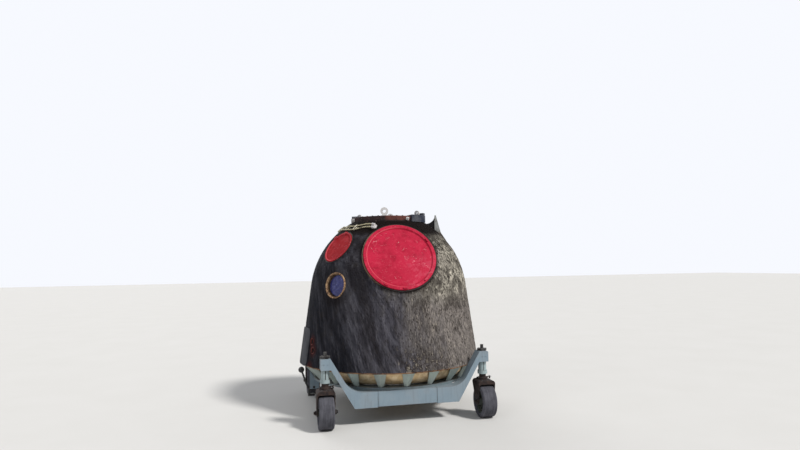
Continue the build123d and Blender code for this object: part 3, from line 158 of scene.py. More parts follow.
class Shapes:
    """Gathers faces for one piece."""

    def __init__(self):
        self.points = []
        self.faces = []

    def grid(self, rows, closed_rows=False, closed_columns=True):
        """Joins rows of points into a skin, each row of the same length."""
        first, width = len(self.points), len(rows[0])
        for row in rows:
            self.points.extend(row)
        for i in range(len(rows) if closed_rows else len(rows) - 1):
            low, high = first + i * width, first + (i + 1) % len(rows) * width
            for j in range(width if closed_columns else width - 1):
                after = (j + 1) % width
                self.faces.append((low + j, low + after, high + after, high + j))

    def capped(self, rows):
        """A skin of closed rows, with a face over its first and its last row."""
        first, width = len(self.points), len(rows[0])
        last = first + (len(rows) - 1) * width
        self.grid(rows)
        self.faces += [tuple(reversed(range(first, first + width))), tuple(range(last, last + width))]

    def turned(self, origin, axis, profile, segments=24, start=None):
        """Turns a profile of (radius, along) pairs about an axis."""
        axis = axis.normalized()
        side = (start or axis.orthogonal()).normalized()
        other = axis.cross(side)
        rows = []
        for radius, along in profile:
            rows.append(circle(origin + axis * along, side, other, max(radius, CLOSE), segments))
        self.grid(rows)

    def swept(self, path, radius, segments=10, closed=False):
        """Runs a round section along points; radius is a number or one number for each point."""
        radii = radius if isinstance(radius, list) else [radius] * len(path)
        rows = []
        side = None
        for i, point in enumerate(path):
            before = path[i - 1] if i or closed else point
            after = path[(i + 1) % len(path)] if i + 1 < len(path) or closed else point
            along = (after - before).normalized()
            side = square_to(side, along) if side else along.orthogonal().normalized()
            rows.append(circle(point, side, along.cross(side), radii[i], segments))
        if closed:
            self.grid(rows, closed_rows=True)
        else:
            self.capped(rows)

    def block(self, middle, along, across, up, size, bevel):
        """A box with chamfered edges; size is full length, width and height."""
        length, width, height = (value / 2 for value in size)
        corner = min(bevel, length, width)
        half = [(length - corner, -width), (length, corner - width)]
        half += [(x, -y) for x, y in reversed(half)]
        outline = half + [(-x, -y) for x, y in half]
        rows = []
        for level, inset in ((-1, corner / 2), (-1, 0), (1, 0), (1, corner / 2)):
            rise = level * (height - (0 if inset else corner / 2))
            inner = [(x - math.copysign(inset, x), y - math.copysign(inset, y)) for x, y in outline]
            rows.append([middle + along * x + across * y + up * rise for x, y in inner])
        self.capped(rows)

    def piece(self, name, finish, body=ROOT, smooth=40):
        """Makes the object, gives it its finish, and lets it ride on a body."""
        mesh = bpy.data.meshes.new(name)
        mesh.from_pydata([tuple(p) for p in self.points], [], self.faces)
        sheet = bmesh.new()
        sheet.from_mesh(mesh)
        bmesh.ops.remove_doubles(sheet, verts=sheet.verts, dist=CLOSE)
        bmesh.ops.recalc_face_normals(sheet, faces=sheet.faces)
        sheet.to_mesh(mesh)
        sheet.free()
        mesh.shade_smooth()
        mesh.set_sharp_from_angle(angle=math.radians(smooth))
        made = bpy.data.objects.new(name, mesh)
        bpy.context.scene.collection.objects.link(made)
        mesh.materials.append(finish.material)
        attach(made, body)
        print(name, len(mesh.polygons), "faces on", body)
        return made

# %% [markdown]
# ## Shader maths as Python
#
# A finish is a small program that runs on every point of the surface. Blender draws it as nodes and
# wires, but an expression reads better. The class Value wraps one socket and overloads the operators,
# so that `1 - mask * 0.5` adds the two Math nodes. Colours go through Mix nodes and vectors through
# Vector Math, because a Math node would turn a colour grey. A finish is then a base colour with coats
# over it, each laid through a mask, and a height for its bumps.

# %% Sockets, nodes and finishes
def operator(operation, swapped=False):
    """A Python operator that adds the Math node of this operation."""
    def apply(self, other):
        pair = (other, self) if swapped else (self, other)
        return self.nodes.math(operation, *pair)

    return apply


class Value:
    """An output socket that takes part in expressions."""

    def __init__(self, nodes, socket):
        self.nodes = nodes
        self.socket = socket

    __add__ = __radd__ = operator("ADD")
    __mul__ = __rmul__ = operator("MULTIPLY")
    __sub__, __rsub__ = operator("SUBTRACT"), operator("SUBTRACT", swapped=True)
    __truediv__ = operator("DIVIDE")
    __pow__ = operator("POWER")

    def above(self, low, high):
        """Rises smoothly from 0 at low to 1 at high; the other way round if high is the lower."""
        ends = {1: low, 2: high, 3: 0.0, 4: 1.0} if high > low else {1: high, 2: low, 3: 1.0, 4: 0.0}
        return self.nodes.node("ShaderNodeMapRange", {"interpolation_type": "SMOOTHSTEP"}, {0: self, **ends})

    def between(self, low, start, stop, high):
        """1 from start to stop, and 0 below low and above high."""
        return self.above(low, start) * self.above(high, stop)


class Nodes:
    """A node tree, and the nodes that expressions add to it."""

    def __init__(self, tree):
        self.tree = tree

    def node(self, kind, settings=None, sockets=None, output=0):
        """Adds a node: its settings first, then values or links for its sockets."""
        made = self.tree.nodes.new(kind)
        for key, value in (settings or {}).items():
            setattr(made, key, value)
        for key, value in (sockets or {}).items():
            if isinstance(value, Value):
                self.tree.links.new(value.socket, made.inputs[key])
            else:
                made.inputs[key].default_value = value
        return Value(self, made.outputs[output])

    def math(self, operation, first, second):
        return self.node("ShaderNodeMath", {"operation": operation}, {0: first, 1: second})

    def vector_math(self, operation, first, second=(0, 0, 0), output=0):
        return self.node("ShaderNodeVectorMath", {"operation": operation}, {0: first, 1: second}, output)


def paint(red, green, blue):
    """A colour as seen on the screen, 0 to 255, as the linear numbers that a shader takes."""
    def linear(level):
        level /= 255
        return level / 12.92 if level <= 0.04045 else ((level + 0.055) / 1.055) ** 2.4

    return (linear(red), linear(green), linear(blue), 1.0)


class Finish(Nodes):
    """A material with its Principled shader and the expressions that feed it."""

    def __init__(self, name, **constants):
        self.material = bpy.data.materials.new(name)
        self.material.use_nodes = True
        super().__init__(self.material.node_tree)
        self.tree.nodes.clear()
        self.surface = self.tree.nodes.new("ShaderNodeBsdfPrincipled")
        output = self.tree.nodes.new("ShaderNodeOutputMaterial")
        self.tree.links.new(self.surface.outputs[0], output.inputs[0])
        for socket, value in constants.items():
            self.surface.inputs[socket.replace("_", " ")].default_value = value
        self.place = self.node("ShaderNodeTexCoord", output="Object")
        self.x, self.y, self.z = self.parts(self.place)

    def parts(self, vector):
        """The three numbers of a vector."""
        split = self.node("ShaderNodeSeparateXYZ", sockets={0: vector})
        return [Value(self, output) for output in split.socket.node.outputs]

    def radius(self):
        """Distance from the capsule's axis."""
        return (self.x * self.x + self.y * self.y) ** 0.5

    def vector(self, x, y, z):
        return self.node("ShaderNodeCombineXYZ", sockets={0: x, 1: y, 2: z})

    def texture(self, kind, at, stretch, sockets):
        """A texture at a place; stretch multiplies each direction, or the height if it is one number."""
        factors = stretch if isinstance(stretch, tuple) else (1, 1, stretch)
        spot = self.vector_math("MULTIPLY", at or self.place, factors)
        return self.node(kind, sockets={"Vector": spot, **sockets})

    def noise(self, scale, detail=4, rough=0.55, stretch=1, at=None, warp=0.0):
        """Cloudy noise, 0 to 1, with scale in features per metre; a stretch below 1 draws it out upward."""
        sockets = {"Scale": scale, "Detail": detail, "Roughness": rough, "Distortion": warp}
        return self.texture("ShaderNodeTexNoise", at, stretch, sockets)

    def cells(self, scale, stretch=1, at=None):
        """Distances to scattered points."""
        return self.texture("ShaderNodeTexVoronoi", at, stretch, {"Scale": scale})

    def mix(self, factor, first, second, blend="MIX"):
        """A colour between two colours."""
        settings = {"data_type": "RGBA", "blend_type": blend, "clamp_factor": True}
        return self.node("ShaderNodeMix", settings, {0: factor, 6: first, 7: second}, 2)

    def coats(self, color, *coats):
        """Lays coats over a colour. A coat is a mask, then a colour or the three numbers of a paint."""
        for mask, *over in coats:
            color = self.mix(mask, color, over[0] if len(over) == 1 else paint(*over))
        return color

    def shade(self, color, amount):
        """A colour made darker or lighter by a number."""
        return self.mix(1.0, color, self.vector(amount, amount, amount), "MULTIPLY")

    def edges(self, radius):
        """1 along sharp edges and 0 on open faces."""
        round_normal = self.node("ShaderNodeBevel", {"samples": 4}, {"Radius": radius})
        flat_normal = self.node("ShaderNodeNewGeometry", output="Normal")
        same = self.vector_math("DOT_PRODUCT", round_normal, flat_normal, 1)
        return (1 - same).above(0.01, 0.12)

    def wear(self, color, rough=None, height=None, depth=None):
        """Feeds the shader: colour, roughness, and bumps whose height of 1 stands depth metres out."""
        bump = height and self.node("ShaderNodeBump", sockets={"Distance": depth, "Height": height})
        for socket, value in (("Base Color", color), ("Roughness", rough), ("Normal", bump)):
            if value:
                self.tree.links.new(value.socket, self.surface.inputs[socket])
        return self


def dress(finish, *nodes):
    """Gives solids a finish, and returns it."""
    for node in nodes:
        data = NODES[node].data
        if not data.materials:
            data.materials.append(finish.material)
        for slot in range(len(data.materials)):
            data.materials[slot] = finish.material
    print(finish.material.name, "on", len(nodes), "solids")
    return finish


def each(kind):
    """The names of the four pieces of one kind on the casters."""
    return [f"{kind}_{caster}" for caster in CASTERS]

# %% [markdown]
# ## Riser ropes
#
# Two ropes lie side by side over the shoulder, from an anchor beside the large cover to one at the
# rear. Each follows a smooth NURBS line through a few control points over the hull. A rope isn't a
# plain tube: three strands are laid round each other, so the line is read back as points and each
# strand circles it as it goes along.

# %% Strands laid along a smooth line
ROPE_ROUTES = {
    "upper": [
        (-120, 2.168, 0.026), (-126.5, 2.187, 0.015), (-136, 2.174, 0.012), (-146, 2.164, 0.013),
        (-156, 2.170, 0.012), (-166, 2.163, 0.013), (-176, 2.170, 0.012), (-187, 2.160, 0.013),
        (-198, 2.168, 0.015), (-205.5, 2.164, 0.026),
    ],
    "lower": [
        (-119.5, 2.134, 0.026), (-126, 2.153, 0.014), (-135, 2.135, 0.012), (-144, 2.121, 0.013),
        (-154, 2.130, 0.012), (-164, 2.134, 0.013), (-174, 2.139, 0.012), (-185, 2.128, 0.013),
        (-197, 2.120, 0.015), (-204.5, 2.126, 0.026),
    ],
}
ROPE_RADIUS = 0.008
STRAND_RADIUS = 0.0037
STRAND_CIRCLE = ROPE_RADIUS - STRAND_RADIUS
LAY_LENGTH = 0.052
SHOULDER_RISE = UP * 1.2  # turns the level way outward up, square to the shoulder's slope


def smooth_line(name, points):
    """Points along the NURBS line with these control points."""
    curve = bpy.data.curves.new(name, "CURVE")
    curve.dimensions = "3D"
    curve.resolution_u = 26
    spline = curve.splines.new("NURBS")
    spline.points.add(len(points) - 1)
    for control, point in zip(spline.points, points):
        control.co = (*point, 1)
    spline.order_u = 3
    spline.use_endpoint_u = True
    holder = bpy.data.objects.new(name, curve)
    mesh = bpy.data.meshes.new_from_object(holder)
    line = [vertex.co.copy() for vertex in mesh.vertices]
    bpy.data.objects.remove(holder)
    bpy.data.meshes.remove(mesh)
    return line


def away(point):
    """Direction from the axis to a point."""
    return Vector((point.x, point.y, 0)).normalized()


def rope_fibre(name, fresh, faded):
    f = Finish(name, Sheen_Weight=0.25)
    yarn = f.noise(600, 3, 0.7)
    dirt = f.noise(26, 5, 0.65)
    soiled = dirt.above(0.50, 0.62) * 0.85
    color = f.coats(paint(*fresh), (yarn.above(0.35, 0.65), *faded), (soiled, 70, 60, 46))
    return f.wear(color, 0.85 + yarn * 0.1, yarn, 0.0012)


fibre = rope_fibre("rope_fibre", (212, 204, 172), (168, 158, 122))
rope_lines = {}
for rope_name, route in ROPE_ROUTES.items():
    line = smooth_line(f"rope_line_{rope_name}", [hull_point(*row) for row in route])
    rope_lines[rope_name] = line
    steps = [0.0]
    for before, after in zip(line, line[1:]):
        steps.append(steps[-1] + (after - before).length)
    rope = Shapes()
    for strand in range(3):
        path = []
        for i, point in enumerate(line):
            along = (line[min(i + 1, len(line) - 1)] - line[max(i - 1, 0)]).normalized()
            outward = square_to((away(point) + SHOULDER_RISE).normalized(), along)
            turn = math.tau * (strand / 3 + steps[i] / LAY_LENGTH)
            path.append(on_circle(point, outward, along.cross(outward), turn, STRAND_CIRCLE))
        rope.swept(path, STRAND_RADIUS, segments=8)
    laid = rope.piece(f"riser_rope_{rope_name}_strands", fibre)
    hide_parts(f"riser_rope_{rope_name}")
    print("rope", rope_name, "is", round(steps[-1], 3), "m long")

# %% [markdown]
# ## Charred hull
#
# The hull's insulation burned on the way down, and is left with strokes like bark and black pits. One
# side burned to charcoal, where long pale streaks lean over the black; the other kept a warm grey
# crust. Painted light lies over this: the crust side is painted as lit by the sun and grows darker
# towards the charcoal, the charcoal side is painted darker and cooler as shade, and a painted shadow
# mixes with the soot beside the large cover. The strokes are noise that is drawn out along the
# height, and turned with it so that they lean. Inside the wall the same solid is the cabin's lining,
# so a mask by depth picks the finish.

# %% Finish: charred hull
# The crusted side faces this way. It is also painted as the sunlit side, and the far side as painted shade.
WARM_LIT_SIDE_TURN = math.radians(-4)
STROKE_LEAN = 0.28
SWEEP_LEAN = 0.62
MAIN_BAY = (-92.2, 1.828)
RESERVE_BAY = (-151.5, 1.938)
PORTHOLES = {"left": (-140.4, SHOULDER_HEIGHT), "rear": (39.6, SHOULDER_HEIGHT)}
THRUSTERS = [(-159.6, 0.84), (-157.2, 0.745), (20.4, 0.84), (22.8, 0.745)]


def hull_depth(f):
    """How far a point lies inside the hull's outer face, measured towards the axis."""
    cone = EDGE_RADIUS + (EDGE_HEIGHT - f.z) * math.tan(CONE_SLOPE)
    rise = f.z - ARC_MIDDLE[1]
    arc = ARC_MIDDLE[0] + (ARC_RADIUS**2 - rise * rise) ** 0.5
    return cone + (arc - cone) * f.z.above(SHOULDER_HEIGHT - 0.001, SHOULDER_HEIGHT) - f.radius()


def from_seat(f, azimuth, height):
    """Distance of a point from the line that stands on the hull at a place."""
    foot, _, _, outward = hull_frame(azimuth, height)
    off = f.vector_math("SUBTRACT", f.place, foot)
    return f.vector_math("LENGTH", f.vector_math("CROSS_PRODUCT", off, outward), output=1)


def leant_place(f, lean):
    """The point turned about the axis by a lean for each metre of height, to slant what is drawn on it."""
    turn = (f.z - EDGE_HEIGHT) * lean
    return f.node("ShaderNodeVectorRotate", {"rotation_type": "Z_AXIS"}, {"Vector": f.place, "Angle": turn})


def charred_hull():
    f = Finish("charred_hull", Specular_IOR_Level=0.06)
    slanted_x, slanted_y, _ = f.parts(leant_place(f, STROKE_LEAN))
    # 1 on the crusted side and -1 on the charcoal side: real crust and char, and also painted sunlight and
    # shade.
    warm_lit_side = (slanted_x * math.cos(WARM_LIT_SIDE_TURN) + slanted_y * math.sin(WARM_LIT_SIDE_TURN)) / f.radius()
    place = leant_place(f, STROKE_LEAN * (1.1 - warm_lit_side.above(-0.6, 0.4)))
    strokes = f.noise(74, 5, 0.65, 0.16, place)
    fine = f.noise(210, 3, 0.6, 0.20, place)
    long = f.noise(30, 6, 0.62, 0.045, place)
    bands = f.noise(9, 5, 0.6, 0.20, place)
    bark = f.noise(34, 4, 0.6, 0.13, place) - 0.5
    blotches = f.noise(7, 6, 0.72, 0.6, place)
    smudges = f.noise(6, 5, 0.6, 0.30, place)
    sweeps = f.noise(9, 5, 0.6, 0.09, leant_place(f, SWEEP_LEAN))
    clouds = f.noise(3.0, 5, 0.6, 0.8)
    spots = f.noise(36, 4, 0.7, 0.62).above(0.53, 0.57)
    scabs = f.noise(10, 6, 0.68, 0.75)
    flakes = f.noise(20, 6, 0.78, 0.7)
    pits = f.cells(52, 0.42, place).above(0.40, 0.16) * bands.above(0.34, 0.54)
    cracks = bark.between(-0.028, -0.004, 0.004, 0.028)

    # Crust against charcoal: partly real, partly painted sunlight against painted shade.
    crusted_and_lit = (warm_lit_side + (bands - 0.5) * 0.9 + (clouds - 0.5) * 0.5).above(-0.06, 0.62)
    crust_and_shade = f.coats(
        paint(116, 110, 106),
        (f.z.above(1.20, 1.48), 174, 168, 155),
        (clouds.above(0.44, 0.62) * 0.6, 92, 86, 82),
        # painted shade: the crust darkens towards the charcoal side
        (warm_lit_side.above(0.62, 0.16) * 0.75, 94, 89, 86),
    )
    # painted shade: the charcoal darkens further round, away from the lit side
    deep = warm_lit_side.above(-0.18, -0.60)
    border = warm_lit_side.between(-0.42, -0.26, -0.16, -0.04) * bands.above(0.36, 0.56)
    # The charcoal is darker and cooler than the char alone: painted shade.
    charcoal_and_shade = f.coats(
        paint(64, 63, 70),
        (deep, 33, 34, 40),
        (clouds.above(0.42, 0.60) * 0.5, 40, 39, 44),
        (smudges.above(0.48, 0.62) * (0.5 - deep * 0.40), 86, 84, 90),
        (long.above(0.53, 0.62) * (0.50 - deep * 0.32), 104, 102, 108),
        (long.above(0.46, 0.38) * 0.60, 23, 22, 26),
        (sweeps.above(0.50, 0.60) * (0.45 - deep * 0.25), 92, 91, 98),
        (sweeps.above(0.47, 0.39) * 0.55, 25, 24, 28),
        (border * 0.7, 36, 34, 37),
    )

    contrast = 0.30 + crusted_and_lit * 0.70
    grain = (strokes.above(0.36, 0.64) - 0.5) * 0.78 + (fine.above(0.34, 0.66) - 0.5) * 0.42
    pale_strokes = strokes.above(0.56, 0.68) * fine.above(0.42, 0.58) * crusted_and_lit
    speckled = f.z.above(1.28, 1.50) * warm_lit_side.above(0.0, 0.2) * clouds.above(0.66, 0.48)
    beside_cover = f.z.above(1.20, 1.45) * warm_lit_side.above(0.15, 0.35)
    belt = f.z.between(1.13, 1.22, 1.28, 1.37) * warm_lit_side.above(0.1, 0.4)
    front = warm_lit_side.between(-0.10, 0.06, 0.42, 0.62) * ((-1 * f.y) / f.radius()).above(0.3, 0.6)
    front_low = f.z.above(0.86, 0.68) * front
    # Soot and a painted shadow beside the large cover, stronger on its right.
    main_cover_soot_and_shadow = (from_seat(f, *MAIN_BAY) + clouds * 0.08).above(0.53, 0.455)
    main_cover_soot_and_shadow = main_cover_soot_and_shadow * (0.5 + warm_lit_side.above(0.2, 0.5) * 0.5)
    # Soot under the ring, over the shoulder and round the openings, together with that painted shadow.
    soot_and_shadow = f.z.above(2.02, 2.15) + f.z.above(1.72, 1.95) * 0.4 + main_cover_soot_and_shadow
    for other in (RESERVE_BAY, *PORTHOLES.values()):
        soot_and_shadow = soot_and_shadow + from_seat(f, *other).above(0.28, 0.20) * 0.3
    skin = f.coats(
        f.shade(f.mix(crusted_and_lit, charcoal_and_shade, crust_and_shade), 1 + grain * contrast),
        (pale_strokes * 0.5, 200, 189, 164),
        (pits * (0.25 + crusted_and_lit * 0.50), 34, 30, 28),
        (spots * speckled * 0.9, 38, 35, 32),
        (cracks * fine.above(0.40, 0.54) * (0.12 + crusted_and_lit * 0.55), 40, 36, 34),
        (blotches.above(0.49, 0.56) * beside_cover * 0.70, 52, 48, 44),
        ((scabs + belt * 0.10).above(0.55, 0.64) * (0.35 + crusted_and_lit * 0.30), 50, 46, 43),
        (flakes.above(0.47, 0.52) * front_low * 0.75, 40, 35, 34),
        (flakes.above(0.56, 0.60) * front_low * 0.75, 142, 134, 122),
        ((soot_and_shadow * (0.6 + clouds * 0.7)).above(0.0, 1.0), 20, 15, 14),
    )
    for cup in THRUSTERS:
        halo = (from_seat(f, *cup) + bands * 0.04).above(0.13, 0.05)
        skin = f.mix(halo * 0.7, skin, f.mix(bands, paint(34, 19, 19), paint(84, 36, 32)))
    seam = (f.z - SEAM_HEIGHT).between(-0.004, -0.001, 0.001, 0.004)
    skin = f.shade(skin, 1 - seam * bands.above(0.42, 0.6) * 0.3)

    inside = hull_depth(f).above(0.028, 0.032)
    lining = f.mix(f.noise(90, 3).above(0.4, 0.6), paint(186, 184, 170), paint(168, 167, 155))
    height = (strokes * 0.6 + fine * 0.2) * contrast + bands * 0.5 + long * 0.35
    height = (height - pits * 0.4 - spots * speckled * 0.25) * (1 - inside)
    return f.wear(f.mix(inside, skin, lining), 0.85 + strokes * 0.12 - inside * 0.25, height, 0.014)


charred_skin = dress(charred_hull(), "hull_lower", "hull_shoulder")

# %% [markdown]
# ## Burnt metal: edge band, top ring, cups and porthole rings
#
# Metal that went through the fire keeps patches of its colour under soot. One function gives such a
# finish from a clean colour, a burnt colour and how much of it burned, and the pieces differ in those.

# %% Finish: burnt metal
RING_BORE = 0.4355


def burnt_metal(name, clean, burnt, share, metallic, grain, streak=1):
    """Metal with heat tints; share is how much of it burnt, and streak draws its marks out upward."""
    f = Finish(name, Metallic=metallic, Specular_IOR_Level=0.25)
    clouds = f.noise(grain * 0.3, 6, 0.65, streak)
    grit = f.noise(grain * 3, 4, 0.7, streak)
    edge = 0.62 - share * 0.3
    fire = (clouds * 0.75 + grit * 0.25).above(edge - 0.14, edge + 0.1)
    color = f.shade(f.mix(fire, paint(*burnt), paint(*clean)), 0.7 + grit * 0.6)
    color = f.coats(color, (f.edges(0.003) * 0.45, *clean))
    f.wear(color, 0.8 - fire * 0.25 + grit * 0.1, clouds * 0.6 + grit * 0.5, 0.0025)
    return f, color, clouds


def copper_edge():
    """The hull's lowest band: soot over copper, bare in places along its outer corner."""
    f, color, clouds = burnt_metal("copper_edge", (108, 76, 52), (42, 31, 27), 0.6, 0.3, 50)
    line = f.radius().above(EDGE_RADIUS - 0.012, EDGE_RADIUS - 0.003) * clouds.above(0.42, 0.56)
    return f.wear(f.coats(f.shade(color, 0.7), (line * 0.8, 138, 104, 76)))


def burnt_ring():
    """The hatch ring: reddish brown at the front, black elsewhere and where it leaves the hull."""
    f, color, clouds = burnt_metal("burnt_ring", (96, 54, 46), (40, 25, 24), 0.5, 0.15, 45)
    sides = f.x.above(0.10, 0.24) * 0.5 - f.x.above(-0.10, -0.19) * 0.7
    front = (f.y / f.radius() + clouds * 0.3 - sides).above(-0.60, -0.84)
    foot = (f.z + clouds * 0.03).above(RIM_HEIGHT + 0.042, RIM_HEIGHT + 0.028)
    old_paint = f.mix(clouds.above(0.45, 0.55), paint(176, 166, 160), paint(132, 52, 44))
    machined = f.shade(f.mix(clouds, paint(112, 108, 102), paint(142, 138, 132)), 0.9)
    return f.wear(f.coats(
        color,
        ((1 - front) * 0.85, 28, 22, 24),
        (foot * 0.9, 22, 17, 17),
        (f.noise(58, 4, 0.7).above(0.62, 0.66) * (1 - front) * 0.8, old_paint),
        (f.radius().above(RING_BORE + 0.0015, RING_BORE - 0.0015), machined),
    ))


def bay_edges():
    """The bays' tubes: black with soot and painted shadow, with some bare primer on the edge that faces away
    from the fire.
    """
    f, color, clouds = burnt_metal("bay_edges", (150, 122, 96), (54, 42, 36), 0.55, 0.1, 60)
    bare_side = (f.x + clouds * 0.1).above(-0.20, -0.32) * (f.x - clouds * 0.1).above(-0.60, -0.50)
    # The dark coat is soot and painted shadow; it is lightest on the large bay's left edge.
    return f.wear(f.coats(color, (1 - bare_side * 0.30, 30, 24, 22)))


def burnt_cups():
    """The thruster cups: black inside, red-brown at the mouth, with a pale throat."""
    f, color, clouds = burnt_metal("burnt_cups", (96, 40, 34), (44, 24, 22), 0.45, 0.2, 80)
    off_axis = from_seat(f, *THRUSTERS[0])
    for cup in THRUSTERS[1:]:
        off_axis = f.math("MINIMUM", off_axis, from_seat(f, *cup))
    sunk = (hull_depth(f) - clouds * 0.004).above(0.0, 0.010)
    return f.wear(f.coats(color, (sunk, 14, 11, 11), (off_axis.above(0.010, 0.007), 120, 112, 106)))


def porthole_brass():
    """The porthole rings: scorched brass, mottled golden on the face, and painted dark down in the bore as
    shade, so that the bore looks deeper.
    """
    f, color, clouds = burnt_metal("porthole_brass", (150, 118, 88), (62, 48, 41), 0.7, 0.25, 70)
    mottle = f.noise(30, 4, 0.7)
    # painted shade: the bore darkens towards the glass
    sunk = (hull_depth(f) - clouds * 0.012).above(-0.008, 0.010)
    return f.wear(f.coats(
        color,
        (mottle.above(0.52, 0.62) * 0.7, 196, 168, 130),
        (mottle.above(0.48, 0.38) * 0.8, 58, 44, 36),
        (sunk * 0.85, 26, 22, 22),
    ))


dress(copper_edge(), "hull_edge")
dress(burnt_ring(), "hatch_ring")
dress(porthole_brass(), "porthole_ring_left", "porthole_ring_rear")
dress(burnt_cups(), "thrusters_left", "thrusters_rear")
dress(bay_edges(), "main_parachute_bay", "reserve_parachute_bay")
dress(burnt_metal("fairing_skin", (38, 40, 47), (22, 22, 27), 0.5, 0.05, 24, 0.4)[0], "connector_fairing")

# %% [markdown]
# ## The dish
#
# The dish under the hull is golden where its foil and primer survived, with soot running over it in
# streaks. Seen from below, the covers of the landing engines sit in it and share its finish.

# %% Finish: golden dish
def golden_dish():
    f = Finish("golden_dish", Metallic=0.65, Specular_IOR_Level=0.3)
    clouds = f.noise(5, 5, 0.6, 1.6)
    smears = f.noise(14, 4, 0.55, 0.5)
    grit = f.noise(160, 3, 0.6)
    color = f.coats(
        paint(196, 170, 130),
        (smears.above(0.36, 0.64), 220, 200, 166),
        (clouds.above(0.52, 0.66) * 0.55, 134, 104, 72),
        (smears.above(0.62, 0.72) * 0.45, 92, 70, 50),
        (grit.above(0.64, 0.76) * 0.3, 90, 70, 54),
        # painted shade: the dish is darker on its left side, away from the sun
        ((f.x + clouds * 0.2).above(-0.28, -0.50) * 0.35, 84, 62, 44),
        (f.z.above(0.530, 0.556) * 0.9, 34, 27, 24),
    )
    return f.wear(color, 0.36 + smears * 0.2, clouds * 0.5 + smears * 0.2 + grit * 0.05, 0.003)


dress(golden_dish(), "bottom_dish", "engine_covers")

# %% [markdown]
# ## Red transport covers
#
# The covers are sheet metal in red paint, the large one crimson and the small one warmer. Handling
# left pale scuffs and scratches, and the raised rims lost some paint on their edges. The scratches
# are thin lines of a noise, kept only where a second noise is high, so that they break off.

# %% Finish: red paint
def red_paint(name, seat, rim, gloss, fresh, faded, deep):
    """Paint on a round cover: seat is its place on the hull, rim the radius inside its raised edge."""
    f = Finish(name, Specular_IOR_Level=gloss)
    clouds = f.noise(4, 5, 0.6)
    blots = f.noise(16, 5, 0.65)
    dust = f.noise(70, 3, 0.6)
    lines = f.noise(7, 2, 0.4, (1, 0.5, 2.4), warp=0.7) - 0.5
    scratch = lines.between(-0.006, 0, 0, 0.006) * blots.above(0.50, 0.58)
    chips = f.noise(60, 2).above(0.72, 0.75) * blots.above(0.52, 0.60)
    handled = f.x.above(-0.05, 0.12) * (f.z + clouds * 0.3).above(2.02, 1.86)
    # painted highlight and painted shadow: a thin line round the rim's inner edge, pale on the left and dark
    # on the right
    rim_highlight_and_shadow = from_seat(f, *seat).between(rim - 0.007, rim - 0.003, rim + 0.001, rim + 0.005)
    color = f.coats(
        paint(*fresh),
        (clouds.above(0.35, 0.65), *faded),
        (blots.above(0.52, 0.68) * 0.35, *deep),
        (blots.above(0.46, 0.34) * 0.10, 214, 104, 116),
        (dust.above(0.55, 0.75) * 0.06, 214, 120, 128),
        (blots.above(0.44, 0.60) * handled * 0.28, 224, 92, 116),
        (rim_highlight_and_shadow * 0.6, f.mix(f.x.above(0.12, -0.16), paint(*deep), paint(206, 96, 106))),
        (scratch * 0.7, 232, 158, 164),
        (chips * 0.9, 232, 200, 192),
        (f.edges(0.004) * 0.30, 214, 112, 118),
    )
    rough = 0.45 + blots * 0.25 + scratch * 0.2
    return f.wear(color, rough, clouds * 0.5 + blots * 0.12 - chips * 0.1, 0.006)


crimson = [(178, 31, 60), (162, 26, 52), (122, 16, 34)]
cover_red = dress(red_paint("red_paint", MAIN_BAY, 0.378, 0.06, *crimson), "main_parachute_lid")
warm_red = [(160, 38, 44), (148, 33, 40), (118, 24, 30)]
small_red = dress(red_paint("small_cover_red", RESERVE_BAY, 0.195, 0.02, *warm_red), "reserve_parachute_lid")

# %% [markdown]
# ## Glass
#
# The pane is thick quartz glass with a blue-violet coating. It lets some light through and mirrors the
# surroundings, and heat left a faint haze on it.

# %% Finish: coated pane
def coated_pane():
    f = Finish("coated_pane", IOR=1.46, Transmission_Weight=0.35, Specular_IOR_Level=0.3)
    haze = f.noise(30, 5, 0.6)
    color = f.mix(haze.above(0.35, 0.7), paint(50, 55, 124), paint(88, 92, 156))
    return f.wear(color, 0.10 + haze.above(0.5, 0.8) * 0.3, haze, 0.0006)


dress(coated_pane(), "porthole_glass_left", "porthole_glass_rear")

# %% [markdown]
# ## Paint on steel
#
# The dolly is welded steel in a pale blue-grey. Outdoor paint chalks and runs with dirt under ledges,
# chips along edges, and rust starts in the chips. One function takes the colour and the amount of
# dirt and wear, and serves for the frame, the hubs, the small blocks, the cabin floor and the couches.

# %% Finish: painted steel
def painted_steel(name, color, dirt=0.3, wear=0.6, rust=(92, 62, 46)):
    f = Finish(name, Specular_IOR_Level=0.2)
    clouds = f.noise(5, 5, 0.6)
    runs = f.noise(42, 4, 0.6, 0.08)
    grit = f.noise(220, 3, 0.6)
    orange_peel = f.noise(420, 1)
    edge = f.edges(0.004) * grit.above(0.42, 0.58)
    chips = f.noise(34, 6, 0.7).above(0.66, 0.69)
    facing_up = f.parts(f.node("ShaderNodeNewGeometry", output="Normal"))[2]
    fresh = paint(*color)
    chalk = (*[level * 0.88 + 0.054 for level in fresh[:3]], 1.0)
    grime = (runs.above(0.48, 0.72) * 0.6 + clouds.above(0.48, 0.70) * 0.5) * dirt
    tone = f.coats(
        f.shade(f.mix(clouds.above(0.42, 0.62), fresh, chalk), 0.90 + grit * 0.2),
        (grime, 72, 70, 66),
        (facing_up.above(0.4, 0.9) * dirt * grit.above(0.3, 0.7), 126, 122, 114),
        ((edge + chips * 0.7) * wear, *rust),
    )
    height = orange_peel * 0.12 + clouds * 0.3 - edge * 0.4
    return f.wear(tone, 0.5 + grime * 0.4 + edge * 0.2, height, 0.0012)


dolly_paint = dress(
    painted_steel("dolly_paint", (123, 139, 150)),
    "front_frame", "rear_frame", "side_rail_left", "side_rail_right", "clamp_yokes",
)
# painted shade: the ring's paint is darker than the frame's, standing for the shade under the hull, with more
# dirt
dress(painted_steel("ring_paint_shaded", (104, 117, 122), dirt=0.5), "support_ring")
